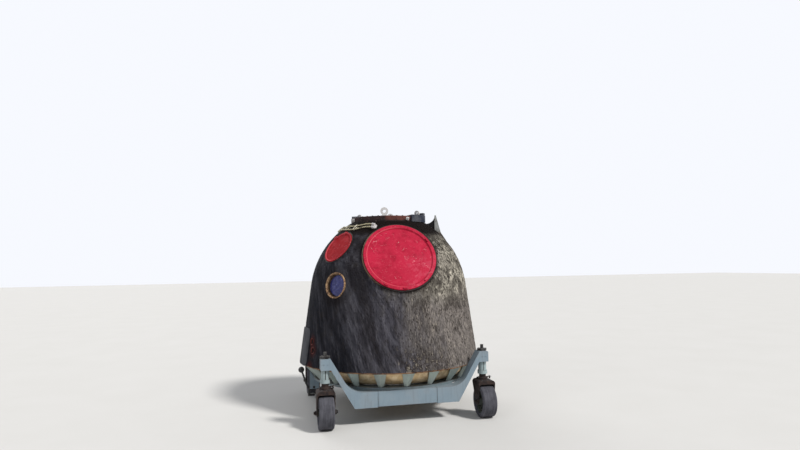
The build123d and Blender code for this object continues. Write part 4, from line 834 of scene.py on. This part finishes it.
# painted light: the brackets' paint is much paler than the frame's, to make up for the hull's shade over them
dress(painted_steel("bracket_paint_lightened", (164, 177, 171)), "ring_brackets")
dress(painted_steel("sleeve_paint", (150, 167, 169), 0.4, 0.8), "post_sleeves")
dress(painted_steel("black_paint", (32, 31, 32), rust=(96, 88, 80)), "clamp_levers", "post_knobs")
dress(painted_steel("hub_paint", (60, 70, 62), 0.6, 0.9), *each("hub"))
dress(painted_steel("block_blue", (24, 30, 47), 0.25, 0.8, (120, 122, 128)), "eye_blocks")
eye_white = painted_steel("eye_white", (206, 203, 202), 0.3, 0.7, (84, 70, 62))
dress(eye_white, "lifting_eyes", "rope_anchors")
dress(painted_steel("cabin_floor_paint", (120, 128, 120)), "cabin_floor")
couches = ["couch_left", "couch_middle", "couch_right"]
dress(painted_steel("couch_shell", (186, 184, 174), 0.2, 0.4), *couches)

# %% [markdown]
# ## Rusted forks, bare metal and rubber
#
# The caster forks are castings that rusted brown under the last of their paint. The tyres are solid
# rubber, ground pale where they roll. Screws and bolts are bare steel, some bright and some oiled.

# %% Finish: rust, bare steel and rubber
def rusted_cast():
    f = Finish("rusted_cast", Metallic=0.1, Specular_IOR_Level=0.2)
    clouds = f.noise(18, 6, 0.65)
    grit = f.noise(240, 4, 0.7)
    color = f.coats(
        paint(36, 31, 32),
        (clouds.above(0.38, 0.62), 60, 48, 44),
        (grit.above(0.58, 0.70) * 0.5, 92, 66, 50),
        (f.noise(7).above(0.52, 0.66) * 0.45, 58, 64, 68),
        (f.edges(0.004) * 0.45, 104, 94, 86),
    )
    return f.wear(color, 0.62 + grit * 0.3, clouds * 0.5 + grit * 0.5, 0.002)


def bare_steel(name, color, rough=0.35):
    f = Finish(name, Metallic=0.75)
    grit = f.noise(320, 4, 0.65)
    stain = f.noise(60, 4, 0.6)
    tone = f.coats(paint(*color), (stain.above(0.5, 0.72) * 0.6, 66, 54, 46))
    return f.wear(f.shade(tone, 0.8 + grit * 0.4), rough + stain * 0.3, grit, 0.0006)


def ground_rubber():
    """Tyre rubber: pale dust ground into the tread, and grit pressed in."""
    f = Finish("ground_rubber", Specular_IOR_Level=0.15)
    grit = f.noise(260, 4, 0.65)
    clouds = f.noise(14, 5, 0.6)
    marks = f.noise(260, 3, 0.7, (1, 0.02, 0.02))
    dust = clouds.above(0.30, 0.70) * 0.35 + grit.above(0.45, 0.65) * 0.2 + marks.above(0.38, 0.62) * 0.45
    color = f.coats(paint(54, 54, 60), (dust, 98, 98, 105), (grit.above(0.64, 0.72) * 0.6, 40, 38, 41))
    return f.wear(color, 0.82 + grit * 0.15, clouds * 0.3 + grit * 0.6 + marks * 0.3, 0.0014)


dress(rusted_cast(), *each("fork"))
rubber = dress(ground_rubber(), *each("tyre"))
bright_steel = bare_steel("bright_steel", (186, 186, 184))
dark_steel = bare_steel("dark_steel", (78, 74, 72), 0.5)

# %% [markdown]
# ## Hatch lid and fin
#
# The lid is machined light alloy, dull from handling. The fin's blade is scraped bright, while the web
# behind it is black and its foot scorched, so its colour follows the distance from the axis and the
# height.

# %% Finish: light alloy and the fin
def dull_alloy():
    f = Finish("dull_alloy", Metallic=0.5)
    radius = f.radius()
    rings = f.noise(140, 3, at=f.vector(radius, radius * 0.2, f.z))
    clouds = f.noise(9, 5, 0.6)
    color = f.mix(clouds.above(0.35, 0.65), paint(140, 142, 140), paint(108, 108, 106))
    color = f.coats(f.shade(color, 0.85 + rings * 0.3), (f.edges(0.004) * 0.5, 180, 180, 178))
    return f.wear(color, 0.38 + clouds * 0.3, rings * 0.5 + clouds * 0.3, 0.0008)


def fin_metal():
    f = Finish("fin_metal", Metallic=0.15, Specular_IOR_Level=0.25)
    scrape = f.noise(120, 4, 0.6, 0.1)
    clouds = f.noise(26, 5, 0.65, 0.5)
    blade = (f.radius() + clouds * 0.008).above(0.599, 0.603)
    foot = (f.z + clouds * 0.05).above(2.15, 2.11)
    bright = f.mix(clouds.above(0.45, 0.65), paint(160, 162, 160), paint(122, 120, 116))
    scorched = f.mix(scrape.above(0.45, 0.6), paint(64, 52, 46), paint(118, 98, 82))
    color = f.coats(paint(26, 24, 26), (blade, f.shade(bright, 0.75 + scrape * 0.5)), (foot * 0.85, scorched))
    return f.wear(color, 0.75 - blade * 0.25, scrape * 0.5 + clouds * 0.4, 0.0015)


dress(dull_alloy(), "hatch_lid")
dress(fin_metal(), "aerial_fin")

# %% [markdown]
# ## Char that stands off the hull
#
# Colour and bumps alone leave the hull's outline as smooth as glass. The real skin stands up in ridges
# a few millimetres high, so some thousands of slim ridges are scattered over it. They take the hull's
# own finish, whose noise goes by place, so they blend into their surroundings. The scatter is seeded,
# keeps clear of the openings, and leans as the painted strokes do. The ridges are low on the charred
# side and higher on the crusted one.

# %% Ridges of char
RIDGE_COUNT = 4600
RIDGE_AZIMUTHS, RIDGE_HEIGHTS = (-225, 135), (0.585, 2.17)
RIDGE_LENGTHS, RIDGE_WIDTHS = (0.035, 0.11), (0.0025, 0.006)
RISES, CRUST_RISES = (0.0005, 0.0014), (0.0002, 0.0026)
RIDGE_SINK = 0.0015
ROPE_ANCHORS = [(-117.2, 2.151), (-208.4, 2.145)]
# Discs are an azimuth, a height and a radius; strips an azimuth, a half width and a span of heights.
CLEAR_DISCS = [
    (*MAIN_BAY, 0.47), (*RESERVE_BAY, 0.26), *[(*place, 0.09) for place in ROPE_ANCHORS],
    *[(*place, 0.18) for place in PORTHOLES.values()], *[(*place, 0.07) for place in THRUSTERS],
]
CLEAR_STRIPS = {"fairing": (-173, 14, 0, 1.02), "ropes": (-163.5, 51.5, 2.08, 3), "fin": (-21, 6, 1.92, 3)}


def apart(azimuth, other):
    """Angle between two azimuths, in degrees."""
    return abs((azimuth - other + 180) % 360 - 180)


def free_of_fittings(azimuth, height):
    """Whether a spot on the hull is clear of bays, portholes, cups, fairing, ropes and fin."""
    spot = hull_point(azimuth, height)
    in_disc = any((spot - hull_point(*place)).length < reach for *place, reach in CLEAR_DISCS)
    return not in_disc and not any(
        apart(azimuth, middle) < half and low < height < high
        for middle, half, low, high in CLEAR_STRIPS.values()
    )


def ridge(shapes, azimuth, height, length, width, rise, lean):
    """A slim scab that tapers at both ends and bends with the hull."""
    foot, sideways, upward, outward = hull_frame(azimuth, height)
    along = (upward + sideways * lean).normalized()
    across = along.cross(outward)
    rows = []
    for part in (-1.0, -0.55, 0.0, 0.5, 1.0):
        swell = 1 - part * part * 0.96
        drop = (part * length / 2) ** 2 / 2 / ARC_RADIUS if height > SHOULDER_HEIGHT else 0
        middle = foot + along * (part * length / 2) - outward * (drop + RIDGE_SINK)
        rows.append([
            middle - across * width * swell,
            middle - across * width * swell * 0.3 + outward * (rise * swell + 0.001),
            middle + across * width * swell * 0.5 + outward * (rise * swell * 0.8 + 0.001),
            middle + across * width * swell,
        ])
    shapes.grid(rows, closed_columns=False)


scatter = random.Random(11)
ridges = Shapes()
placed = 0
while placed < RIDGE_COUNT:
    azimuth = scatter.uniform(*RIDGE_AZIMUTHS)
    height = scatter.uniform(*RIDGE_HEIGHTS)
    if scatter.random() > hull_radius(height) / EDGE_RADIUS or not free_of_fittings(azimuth, height):
        continue
    crusted_and_lit = 0.5 + 0.5 * math.cos(math.radians(azimuth) - WARM_LIT_SIDE_TURN)
    lean = -STROKE_LEAN * hull_radius(height) * (1.1 - crusted_and_lit)
    rise = scatter.uniform(*RISES) + crusted_and_lit * scatter.uniform(*CRUST_RISES)
    size = (scatter.uniform(*RIDGE_LENGTHS), scatter.uniform(*RIDGE_WIDTHS))
    ridge(ridges, azimuth, height, *size, rise, lean + scatter.gauss(0, 0.07))
    placed += 1
ridges.piece("hull_char_ridges", charred_skin, smooth=60)

# %% [markdown]
# ## Screws, bolts and washers
#
# Fasteners give the eye its scale. A cap screw is a turned profile with a dimple, and a hexagon bolt is
# the same turned shape with six sides on a round washer. Each ring of them becomes one object.

# %% Fasteners
RING_TOP = 2.295
BOLT_CIRCLE = 0.428
BOLT_AZIMUTHS = range(3, 363, 10)
LARGE_EYES = (-107, 73)
SMALL_EYES = (-44, 136)
BLOCK_MIDDLE, BLOCK_HALF = -3, 19
# name, place on the hull, lift off its face, radius of the circle, count, screw's radius, finish, slot
SCREW_CIRCLES = [
    ("main_cover_screws", MAIN_BAY, -0.056, 0.397, 28, 0.0065, cover_red, "red_cover"),
    ("reserve_cover_screws", RESERVE_BAY, -0.014, 0.202, 16, 0.0045, small_red, "red_cover"),
    ("porthole_screws_left", PORTHOLES["left"], 0.008, 0.141, 12, 0.0042, dark_steel, "porthole_ring"),
    ("porthole_screws_rear", PORTHOLES["rear"], 0.008, 0.141, 12, 0.0042, dark_steel, "porthole_ring"),
]


def cap_screw(shapes, foot, axis, radius, height):
    profile = [(radius, 0), (radius, height * 0.6), (radius * 0.8, height), (radius * 0.42, height),
               (radius * 0.36, height * 0.45), (0, height * 0.45)]
    shapes.turned(foot, axis, profile, 12)


def hex_bolt(shapes, foot, axis, radius=0.009, height=0.007, shank=0.0):
    """A washer, a hexagon head and, where asked, the end of the thread above it."""
    washer = [(radius * 1.35, 0), (radius * 1.35, 0.0015), (radius, 0.0018), (0, 0.0018)]
    shapes.turned(foot, axis, washer, 16)
    head = [(radius, 0.0018), (radius, height * 0.85), (radius * 0.86, height), (0, height)]
    shapes.turned(foot, axis, head, 6)
    if shank:
        top = height + shank
        end = [(radius * 0.5, height), (radius * 0.5, top), (radius * 0.4, top + 0.001), (0, top + 0.001)]
        shapes.turned(foot, axis, end, 12)


def screw_circle(shapes, seat, reach, count, radius, height):
    """Screws on a circle; seat is its middle, its two directions and the one that the screws face."""
    middle, side, other, axis = seat
    for step in range(count):
        foot = on_circle(middle, side, other, math.tau * (step + 0.5) / count, reach)
        cap_screw(shapes, foot, axis, radius, height)


for name, place, lift, reach, count, radius, finish, slot in SCREW_CIRCLES:
    seat = (hull_point(*place, lift), *hull_frame(*place)[1:])
    screws = Shapes()
    screw_circle(screws, seat, reach, count, radius, radius * 0.6)
    screws.piece(name, finish)

ring_bolts = Shapes()
for azimuth in BOLT_AZIMUTHS:
    by_eye = any(apart(azimuth, eye) < 7 for eye in LARGE_EYES)
    by_block = any(apart(azimuth, eye + BLOCK_MIDDLE) < BLOCK_HALF for eye in SMALL_EYES)
    if not by_eye and not by_block:
        hex_bolt(ring_bolts, around(azimuth, BOLT_CIRCLE, RING_TOP), UP)
ring_bolts.piece("hatch_ring_bolts", dark_steel)

# %% [markdown]
# ## Clamps on the ring's flank
#
# Small screw clamps sit round the ring's flank, each a saddle with a screw and a lobed nut. Two of them
# catch the light in the photograph, one at each end of the ring's brown stretch.

# %% Ring clamps
RING_RADIUS = 0.460
CLAMP_AZIMUTHS = (-165, -71, 10, 62, 105)
CLAMP_HEIGHT = RING_TOP - 0.036
SADDLE, BRIDGE = (0.040, 0.040, 0.012), (0.030, 0.016, 0.010)
NUT = [(0.008, 0.017), (0.008, 0.027), (0.005, 0.030), (0, 0.030)]
NUT_LIFT, LOBE_CIRCLE, LOBE_START = 0.021, 0.021, 0.4


def flat_frame(azimuth):
    """The level directions outward and sideways at an azimuth."""
    outward = around(azimuth, 1, 0)
    return outward, Vector((-outward.y, outward.x, 0))


clamps = Shapes()
for azimuth in CLAMP_AZIMUTHS:
    spot = around(azimuth, RING_RADIUS, CLAMP_HEIGHT)
    outward, sideways = flat_frame(azimuth)
    clamps.block(spot + outward * 0.005, sideways, UP, outward, SADDLE, 0.008)
    clamps.block(spot + outward * 0.014, UP, sideways, outward, BRIDGE, 0.005)
    for lobe in range(3):
        tip = on_circle(spot, sideways, UP, math.tau * lobe / 3 + LOBE_START, LOBE_CIRCLE)
        clamps.swept([spot + outward * NUT_LIFT, tip + outward * (NUT_LIFT + 0.002)], [0.0055, 0.004], 8)
    clamps.turned(spot, outward, NUT, 12)
clamps.piece("ring_clamps", eye_white)

# %% [markdown]
# ## Weld beads
#
# The dolly is welded together. A bead is a swept tube half sunk in the corner, whose radius goes up and
# down from point to point as the welder's hand did. The beams also show upright seams where their
# middle length was let in.

# %% Weld beads
BEAM_TOP, BEAM_SEAM_FOOT = 0.355, 0.196
BEAM_FACE, BEAM_BACK = 0.950, 0.810
BEAM_SEAM = 0.330
RAIL_MIDDLE, RAIL_HALF, RAIL_FOOT = 0.520, 0.055, 0.215
RING_PLATE_TOP = 0.380
BRACKET_FOOT_RADIUS, BRACKET_FOOT_HALF = 0.926, 0.032
BRACKET_COUNT = 20
PITCH = 0.006
ENDS_AND_SIDES = [(end, side) for end in (-1, 1) for side in (-1, 1)]
weld_hand = random.Random(4)


def bead(shapes, corners, radius=0.003):
    """A weld bead along straight runs between corners."""
    path = []
    for before, after in zip(corners, corners[1:]):
        steps = max(2, round((after - before).length / PITCH))
        path += [before.lerp(after, step / steps) for step in range(steps)]
    path.append(corners[-1])
    shapes.swept(path, [radius * weld_hand.uniform(0.75, 1.25) for _ in path], 6)


beads = Shapes()
seams = Shapes()
for end, side in ENDS_AND_SIDES:
    x, back, face = side * BEAM_SEAM, end * BEAM_BACK, end * BEAM_FACE
    corners = [(back, BEAM_SEAM_FOOT), (face, BEAM_SEAM_FOOT), (face, BEAM_TOP), (back, BEAM_TOP)]
    bead(seams, [Vector((x, *corner)) for corner in corners], 0.0028)
    left, right = side * RAIL_MIDDLE - RAIL_HALF, side * RAIL_MIDDLE + RAIL_HALF
    corners = [(left, BEAM_TOP - 0.01), (left, RAIL_FOOT), (right, RAIL_FOOT), (right, BEAM_TOP - 0.01)]
    bead(beads, [Vector((x, back, z)) for x, z in corners], 0.004)
for step in range(BRACKET_COUNT):
    azimuth = -90 + step * 360 / BRACKET_COUNT
    outward, sideways = flat_frame(azimuth)
    tip = around(azimuth, BRACKET_FOOT_RADIUS, RING_PLATE_TOP)
    back = tip - outward * BRACKET_FOOT_HALF
    bead(beads, [back + sideways * BRACKET_FOOT_HALF, tip, back - sideways * BRACKET_FOOT_HALF])
beads.piece("weld_beads", dolly_paint, smooth=70)
seam_paint = painted_steel("seam_paint", (78, 90, 98), dirt=0.6)
seams.piece("beam_seams", seam_paint, smooth=70)

# %% [markdown]
# ## Casters
#
# Each caster fork carries bolts on its crown, a grease nipple, washers under the axle nuts and a bright
# grip on its swivel lock's lever. The tyre is turned again with the fine grooves that rolling and
# grinding left round it, at the solid tyre's own sizes, and stands for it.

# %% Fork fittings and grooved tyres
POST_X, POST_Y = 0.888027, 0.880004
WHEEL_RADIUS = 0.175
TYRE_HALF, TYRE_DEPTH, TYRE_EDGE, TYRE_LIP = 0.080, 0.049, 0.016, 0.004
CASTER_TRAIL = 0.063
FORK_TOP, FORK_OUTER = 0.404, 0.096
LOCK_REACH, LOCK_LEVER_TOP = 0.084, 0.430
HUB_FACE, HUB_SCREW_CIRCLE = 0.079, 0.029
GROOVE_COUNT = 11
GROOVE_DEPTH, GROOVE_HALF = 0.0014, 0.0016
CROWN_BOLTS = [(x, y) for y in (-0.108, 0.060) for x in (-0.045, 0.045)]
NIPPLE_Y = -0.118
AXLE_WASHER = [(0.031, 0), (0.031, 0.003), (0, 0.003)]
GRIP_SIZE = (0.020, 0.028, 0.012)
HEAD_BOLTS = [(-0.022, 0.664), (0.020, 0.664)]
GREASE_NIPPLE = [
    (0.006, 0), (0.006, 0.004), (0.0035, 0.005), (0.0035, 0.009), (0.0045, 0.010), (0.003, 0.013), (0, 0.013),
]


def tyre_profile():
    """Half section of the tyre as (radius, along) pairs, closed round the inner face."""
    inner = WHEEL_RADIUS - TYRE_DEPTH
    flat = TYRE_HALF - TYRE_EDGE
    flank = [(inner, TYRE_HALF - TYRE_LIP), (inner + TYRE_LIP, TYRE_HALF)]
    for step in range(7):
        turn = math.radians(15 * step)
        reach = WHEEL_RADIUS - TYRE_EDGE + TYRE_EDGE * math.sin(turn)
        flank.append((reach, flat + TYRE_EDGE * math.cos(turn)))
    grooves = []
    for groove in range(GROOVE_COUNT):
        middle = flat * (1 - 2 * (groove + 0.5) / GROOVE_COUNT)
        for share, depth in ((1.5, 0), (1, GROOVE_DEPTH), (-1, GROOVE_DEPTH), (-1.5, 0)):
            grooves.append((WHEEL_RADIUS - depth, middle + GROOVE_HALF * share))
    return flank + grooves + [(radius, -along) for radius, along in reversed(flank)] + flank[:1]


head_bolts = Shapes()
for end, side in ENDS_AND_SIDES:
    caster = ("front_" if end < 0 else "rear_") + ("left" if side < 0 else "right")
    post = Vector((side * POST_X, end * POST_Y, 0))
    axle = post + Vector((0, -CASTER_TRAIL, WHEEL_RADIUS))
    crown = post + UP * FORK_TOP
    fittings = Shapes()
    for x, y in CROWN_BOLTS:
        hex_bolt(fittings, crown + Vector((x, y, 0)), UP, 0.0075, 0.007, 0.005)
    hub_screws = Shapes()
    for out in (-ACROSS, ACROSS):
        fittings.turned(axle + out * FORK_OUTER, out, AXLE_WASHER, 24)
        hub_seat = (axle + out * HUB_FACE, ALONG, UP, out)
        screw_circle(hub_screws, hub_seat, HUB_SCREW_CIRCLE, 6, 0.0045, 0.003)
    fittings.turned(crown + Vector((0, NIPPLE_Y, 0)), UP, GREASE_NIPPLE, 12)
    fittings.piece(f"fork_fittings_{caster}", dark_steel, f"caster_{caster}")
    grip = Shapes()
    grip_middle = post + Vector((LOCK_REACH + 0.011, 0, LOCK_LEVER_TOP - 0.003))
    grip.block(grip_middle, ACROSS, ALONG, UP, GRIP_SIZE, 0.004)
    cap_screw(grip, post + Vector((LOCK_REACH, 0, LOCK_LEVER_TOP + 0.006)), UP, 0.008, 0.005)
    grip.piece(f"lock_grip_{caster}", bright_steel, f"caster_{caster}")
    tyre = Shapes()
    tyre.turned(axle, ACROSS, tyre_profile(), 96, start=UP)
    rubber_tyre = tyre.piece(f"grooved_tyre_{caster}", rubber, f"wheel_{caster}", smooth=50)
    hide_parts(f"tyre_{caster}")
    hub_screws.piece(f"hub_screws_{caster}", dark_steel, f"wheel_{caster}")
    for x, z in HEAD_BOLTS:
        cap_screw(head_bolts, Vector((side * (POST_X + x), end * BEAM_FACE, z)), ALONG * end, 0.005, 0.004)
head_bolts.piece("head_bolts", dolly_paint)

# %% [markdown]
# ## Rope lashings
#
# Thin cord is wound round both ropes at a few places and holds them together.

# %% Lashings round both ropes
LASHED = (-142, -157, -173, -189)
LASHING_TURNS, LASHING_STEPS = 4, 24
LASHING_RADIUS = 0.0022
lashings = Shapes()
for azimuth in LASHED:
    near = [
        min(line, key=lambda p: apart(math.degrees(math.atan2(p.y, p.x)), azimuth))
        for line in rope_lines.values()
    ]
    middle = (near[0] + near[1]) / 2
    spread = near[0] - near[1]
    half = spread.length / 2
    spread.normalize()
    outward = square_to(away(middle) + SHOULDER_RISE, spread)
    along = spread.cross(outward)
    path = []
    for step in range(LASHING_TURNS * LASHING_STEPS + 1):
        turn = math.tau * step / LASHING_STEPS
        shift = (step / LASHING_STEPS - LASHING_TURNS / 2) * LASHING_RADIUS * 2.1
        swing = math.copysign(min(1, abs(math.cos(turn)) * 3), math.cos(turn)) * half
        at = middle + spread * swing + along * shift
        path.append(on_circle(at, spread, outward, turn, ROPE_RADIUS + LASHING_RADIUS))
    lashings.swept(path, LASHING_RADIUS, 6)
lashings.piece(
    "rope_lashings", rope_fibre("lashing_fibre", (214, 208, 190), (176, 168, 146)),
)

# %% [markdown]
# ## Fittings of the hatch lid
#
# The lid has a rubber seal, a ring of bolts and a grab handle on top, and a locking wheel below.

# %% Seal, handle and locking wheel
LID_TOP, LID_RECESS = 2.250, 0.016
LID_HUB_FOOT = 2.198
SEAL_CIRCLE, SEAL_RADIUS = 0.378, 0.0024
HANDLE_HALF, HANDLE_Y = 0.09, -0.02
LOCK_WHEEL_RADIUS, LOCK_WHEEL_DROP = 0.110, 0.034
LID_BOLT_CIRCLE, LID_BOLT_COUNT = 0.345, 24


def level_ring(radius, height, count):
    """Points round the axis, level and evenly spaced."""
    return [around(step * 360 / count, radius, height) for step in range(count)]


seal = Shapes()
seal.swept(level_ring(SEAL_CIRCLE, LID_TOP, 72), SEAL_RADIUS, 8, closed=True)
seal.piece("hatch_seal", rubber, "hatch")
lid_fittings = Shapes()
handle_foot = Vector((0, HANDLE_Y, LID_TOP - LID_RECESS))
half_handle = [(-HANDLE_HALF, 0), (-HANDLE_HALF, 0.024), (-0.082, 0.034), (-0.07, 0.038)]
handle = half_handle + [(-x, rise) for x, rise in reversed(half_handle)]
lid_fittings.swept([handle_foot + Vector((x, 0, rise)) for x, rise in handle], 0.0065, 12)
collar = [(0.016, 0), (0.016, 0.004), (0.008, 0.007), (0, 0.007)]
for x in (-HANDLE_HALF, HANDLE_HALF):
    lid_fittings.turned(handle_foot + ACROSS * x, UP, collar, 20)
wheel_level = LID_HUB_FOOT - LOCK_WHEEL_DROP
lid_fittings.swept(level_ring(LOCK_WHEEL_RADIUS, wheel_level, 36), 0.009, 12, closed=True)
for azimuth in (30, 150, 270):
    spoke = [UP * (wheel_level + 0.006), around(azimuth, LOCK_WHEEL_RADIUS, wheel_level)]
    lid_fittings.swept(spoke, 0.007, 10)
shaft = [(0.024, 0), (0.024, -0.012), (0.014, -0.016), (0.014, -0.044), (0, -0.044)]
lid_fittings.turned(UP * LID_HUB_FOOT, UP, shaft, 24)
for step in range(LID_BOLT_COUNT):
    spot = around((step + 0.5) * 360 / LID_BOLT_COUNT, LID_BOLT_CIRCLE, LID_TOP)
    hex_bolt(lid_fittings, spot, UP, 0.006, 0.0042)
lid_fittings.piece("hatch_fittings", bright_steel, "hatch")

# %% [markdown]
# ## Cushions and belts
#
# With the lid down the cabin shows through the ring. Each couch has padded cushions and two belts. A
# cushion is a crowned form: a grid that follows the couch's line, high in the middle and drawn down at
# its sides and ends.

# %% Cushions and belts
def quilted_cloth():
    f = Finish("quilted_cloth", Sheen_Weight=0.3)
    weave = f.noise(500, 2)
    dirt = f.noise(9, 5, 0.6)
    color = f.mix(dirt.above(0.45, 0.65), paint(178, 172, 150), paint(150, 143, 122))
    return f.wear(f.shade(color, 0.85 + weave * 0.3), 0.85 + weave * 0.1, weave * 0.6 + dirt * 0.4, 0.0015)


FLOOR_TOP = 0.630
COUCH_LINE = [(-0.330, 0.250), (-0.230, 0.150), (-0.090, 0.100), (0.130, 0.092), (0.320, 0.306)]
COUCHES = [("left", 8, -0.450), ("middle", 0, 0.0), ("right", -8, 0.450)]
PADS = [("legs", 0.03, 0.34), ("back", 0.37, 0.72), ("head", 0.75, 0.95)]
PAD_HALF, PAD_THICKNESS = 0.150, 0.034
PAD_ROWS, PAD_COLUMNS = 24, 32
BELT_PLACES = (0.42, 0.62)
BELT_HALF, BELT_THICKNESS, BELT_STEPS = 0.022, 0.002, 20
BUCKLE = (0.06, 0.05, 0.008)
BEND = 0.06
cloth = quilted_cloth()
belt_cloth = bare_steel("belt_cloth", (96, 100, 88), 0.8)


def along_couch(part):
    """Point and rising direction on the couch's line, at a share of its length."""
    ends = [Vector((0, *point)) for point in COUCH_LINE]
    runs = [(b - a).length for a, b in zip(ends, ends[1:])]
    left = part * sum(runs)
    for a, b, run in zip(ends, ends[1:], runs):
        if left <= run or b is ends[-1]:
            return a.lerp(b, left / run), (b - a).normalized()
        left -= run


def couch_frame(base, forward, part):
    """Point on a couch and the directions along and out of it, averaged so that corners become bends."""
    near = [along_couch(min(1, max(0, part + BEND * (step / 6 - 0.5)))) for step in range(7)]
    point = sum((p for p, _ in near), Vector()) / 7
    run = sum((r for _, r in near), Vector()).normalized()
    spot = base + forward * point.y + UP * (point.z + 0.002)
    return spot, forward * run.y + UP * run.z, forward * -run.z + UP * run.y


def cushion_rows(base, forward, aside, start, stop):
    """A cushion's closed rows: over its crowned top and back along its flat underside."""
    rows = []
    for i in range(PAD_ROWS + 1):
        v = 2 * i / PAD_ROWS - 1
        middle, _, rising = couch_frame(base, forward, start + (stop - start) * i / PAD_ROWS)
        under = [middle + aside * (2 * j / PAD_COLUMNS - 1) * PAD_HALF for j in range(PAD_COLUMNS + 1)]
        over = []
        for j, point in enumerate(under):
            u = 2 * j / PAD_COLUMNS - 1
            swell = (1 - u**6) ** 0.5 * (1 - v**8) ** 0.5
            quilt = 1 - 0.16 * max(0, math.cos(math.pi * 2 * u)) ** 8
            over.append(point + rising * PAD_THICKNESS * swell * quilt)
        rows.append(over + under[-2:0:-1])
    return rows


def belt_rows(middle, along, rising, aside):
    """A belt's closed rows across a cushion."""
    rows = []
    for j in range(BELT_STEPS + 1):
        u = 2 * j / BELT_STEPS - 1
        rise = PAD_THICKNESS * (1 - u**6) ** 0.5 + BELT_THICKNESS
        crown = middle + aside * u * (PAD_HALF + 0.006) + rising * rise
        low = [crown - along * BELT_HALF, crown + along * BELT_HALF]
        rows.append(low + [point + rising * BELT_THICKNESS for point in reversed(low)])
    return rows


for couch, heading, shift in COUCHES:
    turn = math.radians(heading)
    forward = Vector((math.sin(turn), math.cos(turn), 0))
    aside = Vector((math.cos(turn), -math.sin(turn), 0))
    base = Vector((shift, 0, FLOOR_TOP))
    for pad, start, stop in PADS:
        cushion = Shapes()
        cushion.grid(cushion_rows(base, forward, aside, start, stop))
        padding = cushion.piece(f"couch_pad_{pad}_{couch}", cloth, smooth=60)
    belts = Shapes()
    for part in BELT_PLACES:
        middle, along, rising = couch_frame(base, forward, part)
        belts.grid(belt_rows(middle, along, rising, aside))
        buckle = middle + rising * (PAD_THICKNESS + 0.006)
        belts.block(buckle, aside, along, rising, BUCKLE, 0.006)
    belts.piece(f"couch_belts_{couch}", belt_cloth)

# %% [markdown]
# ## Floor and light
#
# The stage is a plain pale floor that runs to the horizon under a white surround. The surround is
# white only to the camera, to mirrors and through glass, and is dimmer as a light, so that colours
# render about as they are written. The sun stands high to the right of the camera, as in the
# photograph; two weak, soft ones help from the left and from behind.

# %% Floor
FLOOR_REACH = 60


def stage_floor():
    f = Finish("pale_floor", Roughness=0.9, Specular_IOR_Level=0.1)
    return f.wear(f.mix(f.noise(1.2), paint(200, 199, 196), paint(206, 205, 203)))


floor_mesh = bpy.data.meshes.new("stage_floor")
corners = [(-1, -1), (1, -1), (1, 1), (-1, 1)]
floor_mesh.from_pydata([(x * FLOOR_REACH, y * FLOOR_REACH, 0) for x, y in corners], [], [(0, 1, 2, 3)])
floor = bpy.data.objects.new("stage_floor", floor_mesh)
floor_mesh.materials.append(stage_floor().material)
bpy.context.scene.collection.objects.link(floor)

# %% Surround and lamps
SURROUND = (0.93, 0.95, 1.0, 1.0)
AMBIENT = 0.42


def sun(name, towards, strength, spread, color=(1, 1, 1)):
    """A distant lamp that shines from a direction, with a soft edge of so many degrees."""
    data = bpy.data.lights.new(name, "SUN")
    data.energy = strength
    data.angle = math.radians(spread)
    data.color = color
    made = bpy.data.objects.new(name, data)
    made.matrix_world = Vector(towards).to_track_quat("Z", "Y").to_matrix().to_4x4()
    bpy.context.scene.collection.objects.link(made)
    print(name, strength, "W/m2")


world = bpy.data.worlds.new("studio")
bpy.context.scene.world = world
world.use_nodes = True
surround = world.node_tree.nodes["Background"]
surround.inputs["Color"].default_value = SURROUND
sky = Nodes(world.node_tree)
to_camera, to_mirror, through_glass = [
    sky.node("ShaderNodeLightPath", output=f"Is {ray} Ray") for ray in ("Camera", "Glossy", "Transmission")
]
seen = sky.math("MAXIMUM", sky.math("MAXIMUM", to_camera, to_mirror), through_glass)
level = sky.node("ShaderNodeMapRange", sockets={"Value": seen, "To Min": AMBIENT, "To Max": 1.0})
world.node_tree.links.new(level.socket, surround.inputs["Strength"])

sun("sun", (0.50, -0.50, 0.72), 3.3, 9, (1.0, 0.98, 0.95))
sun("fill", (-0.75, -0.45, 0.40), 0.35, 40, (0.93, 0.96, 1.0))
sun("back", (-0.20, 0.80, 0.50), 0.9, 40)

# %% [markdown]
#
# The Standard view shows colours as written.

# %% Finish
bpy.context.scene.view_settings.view_transform = "Standard"
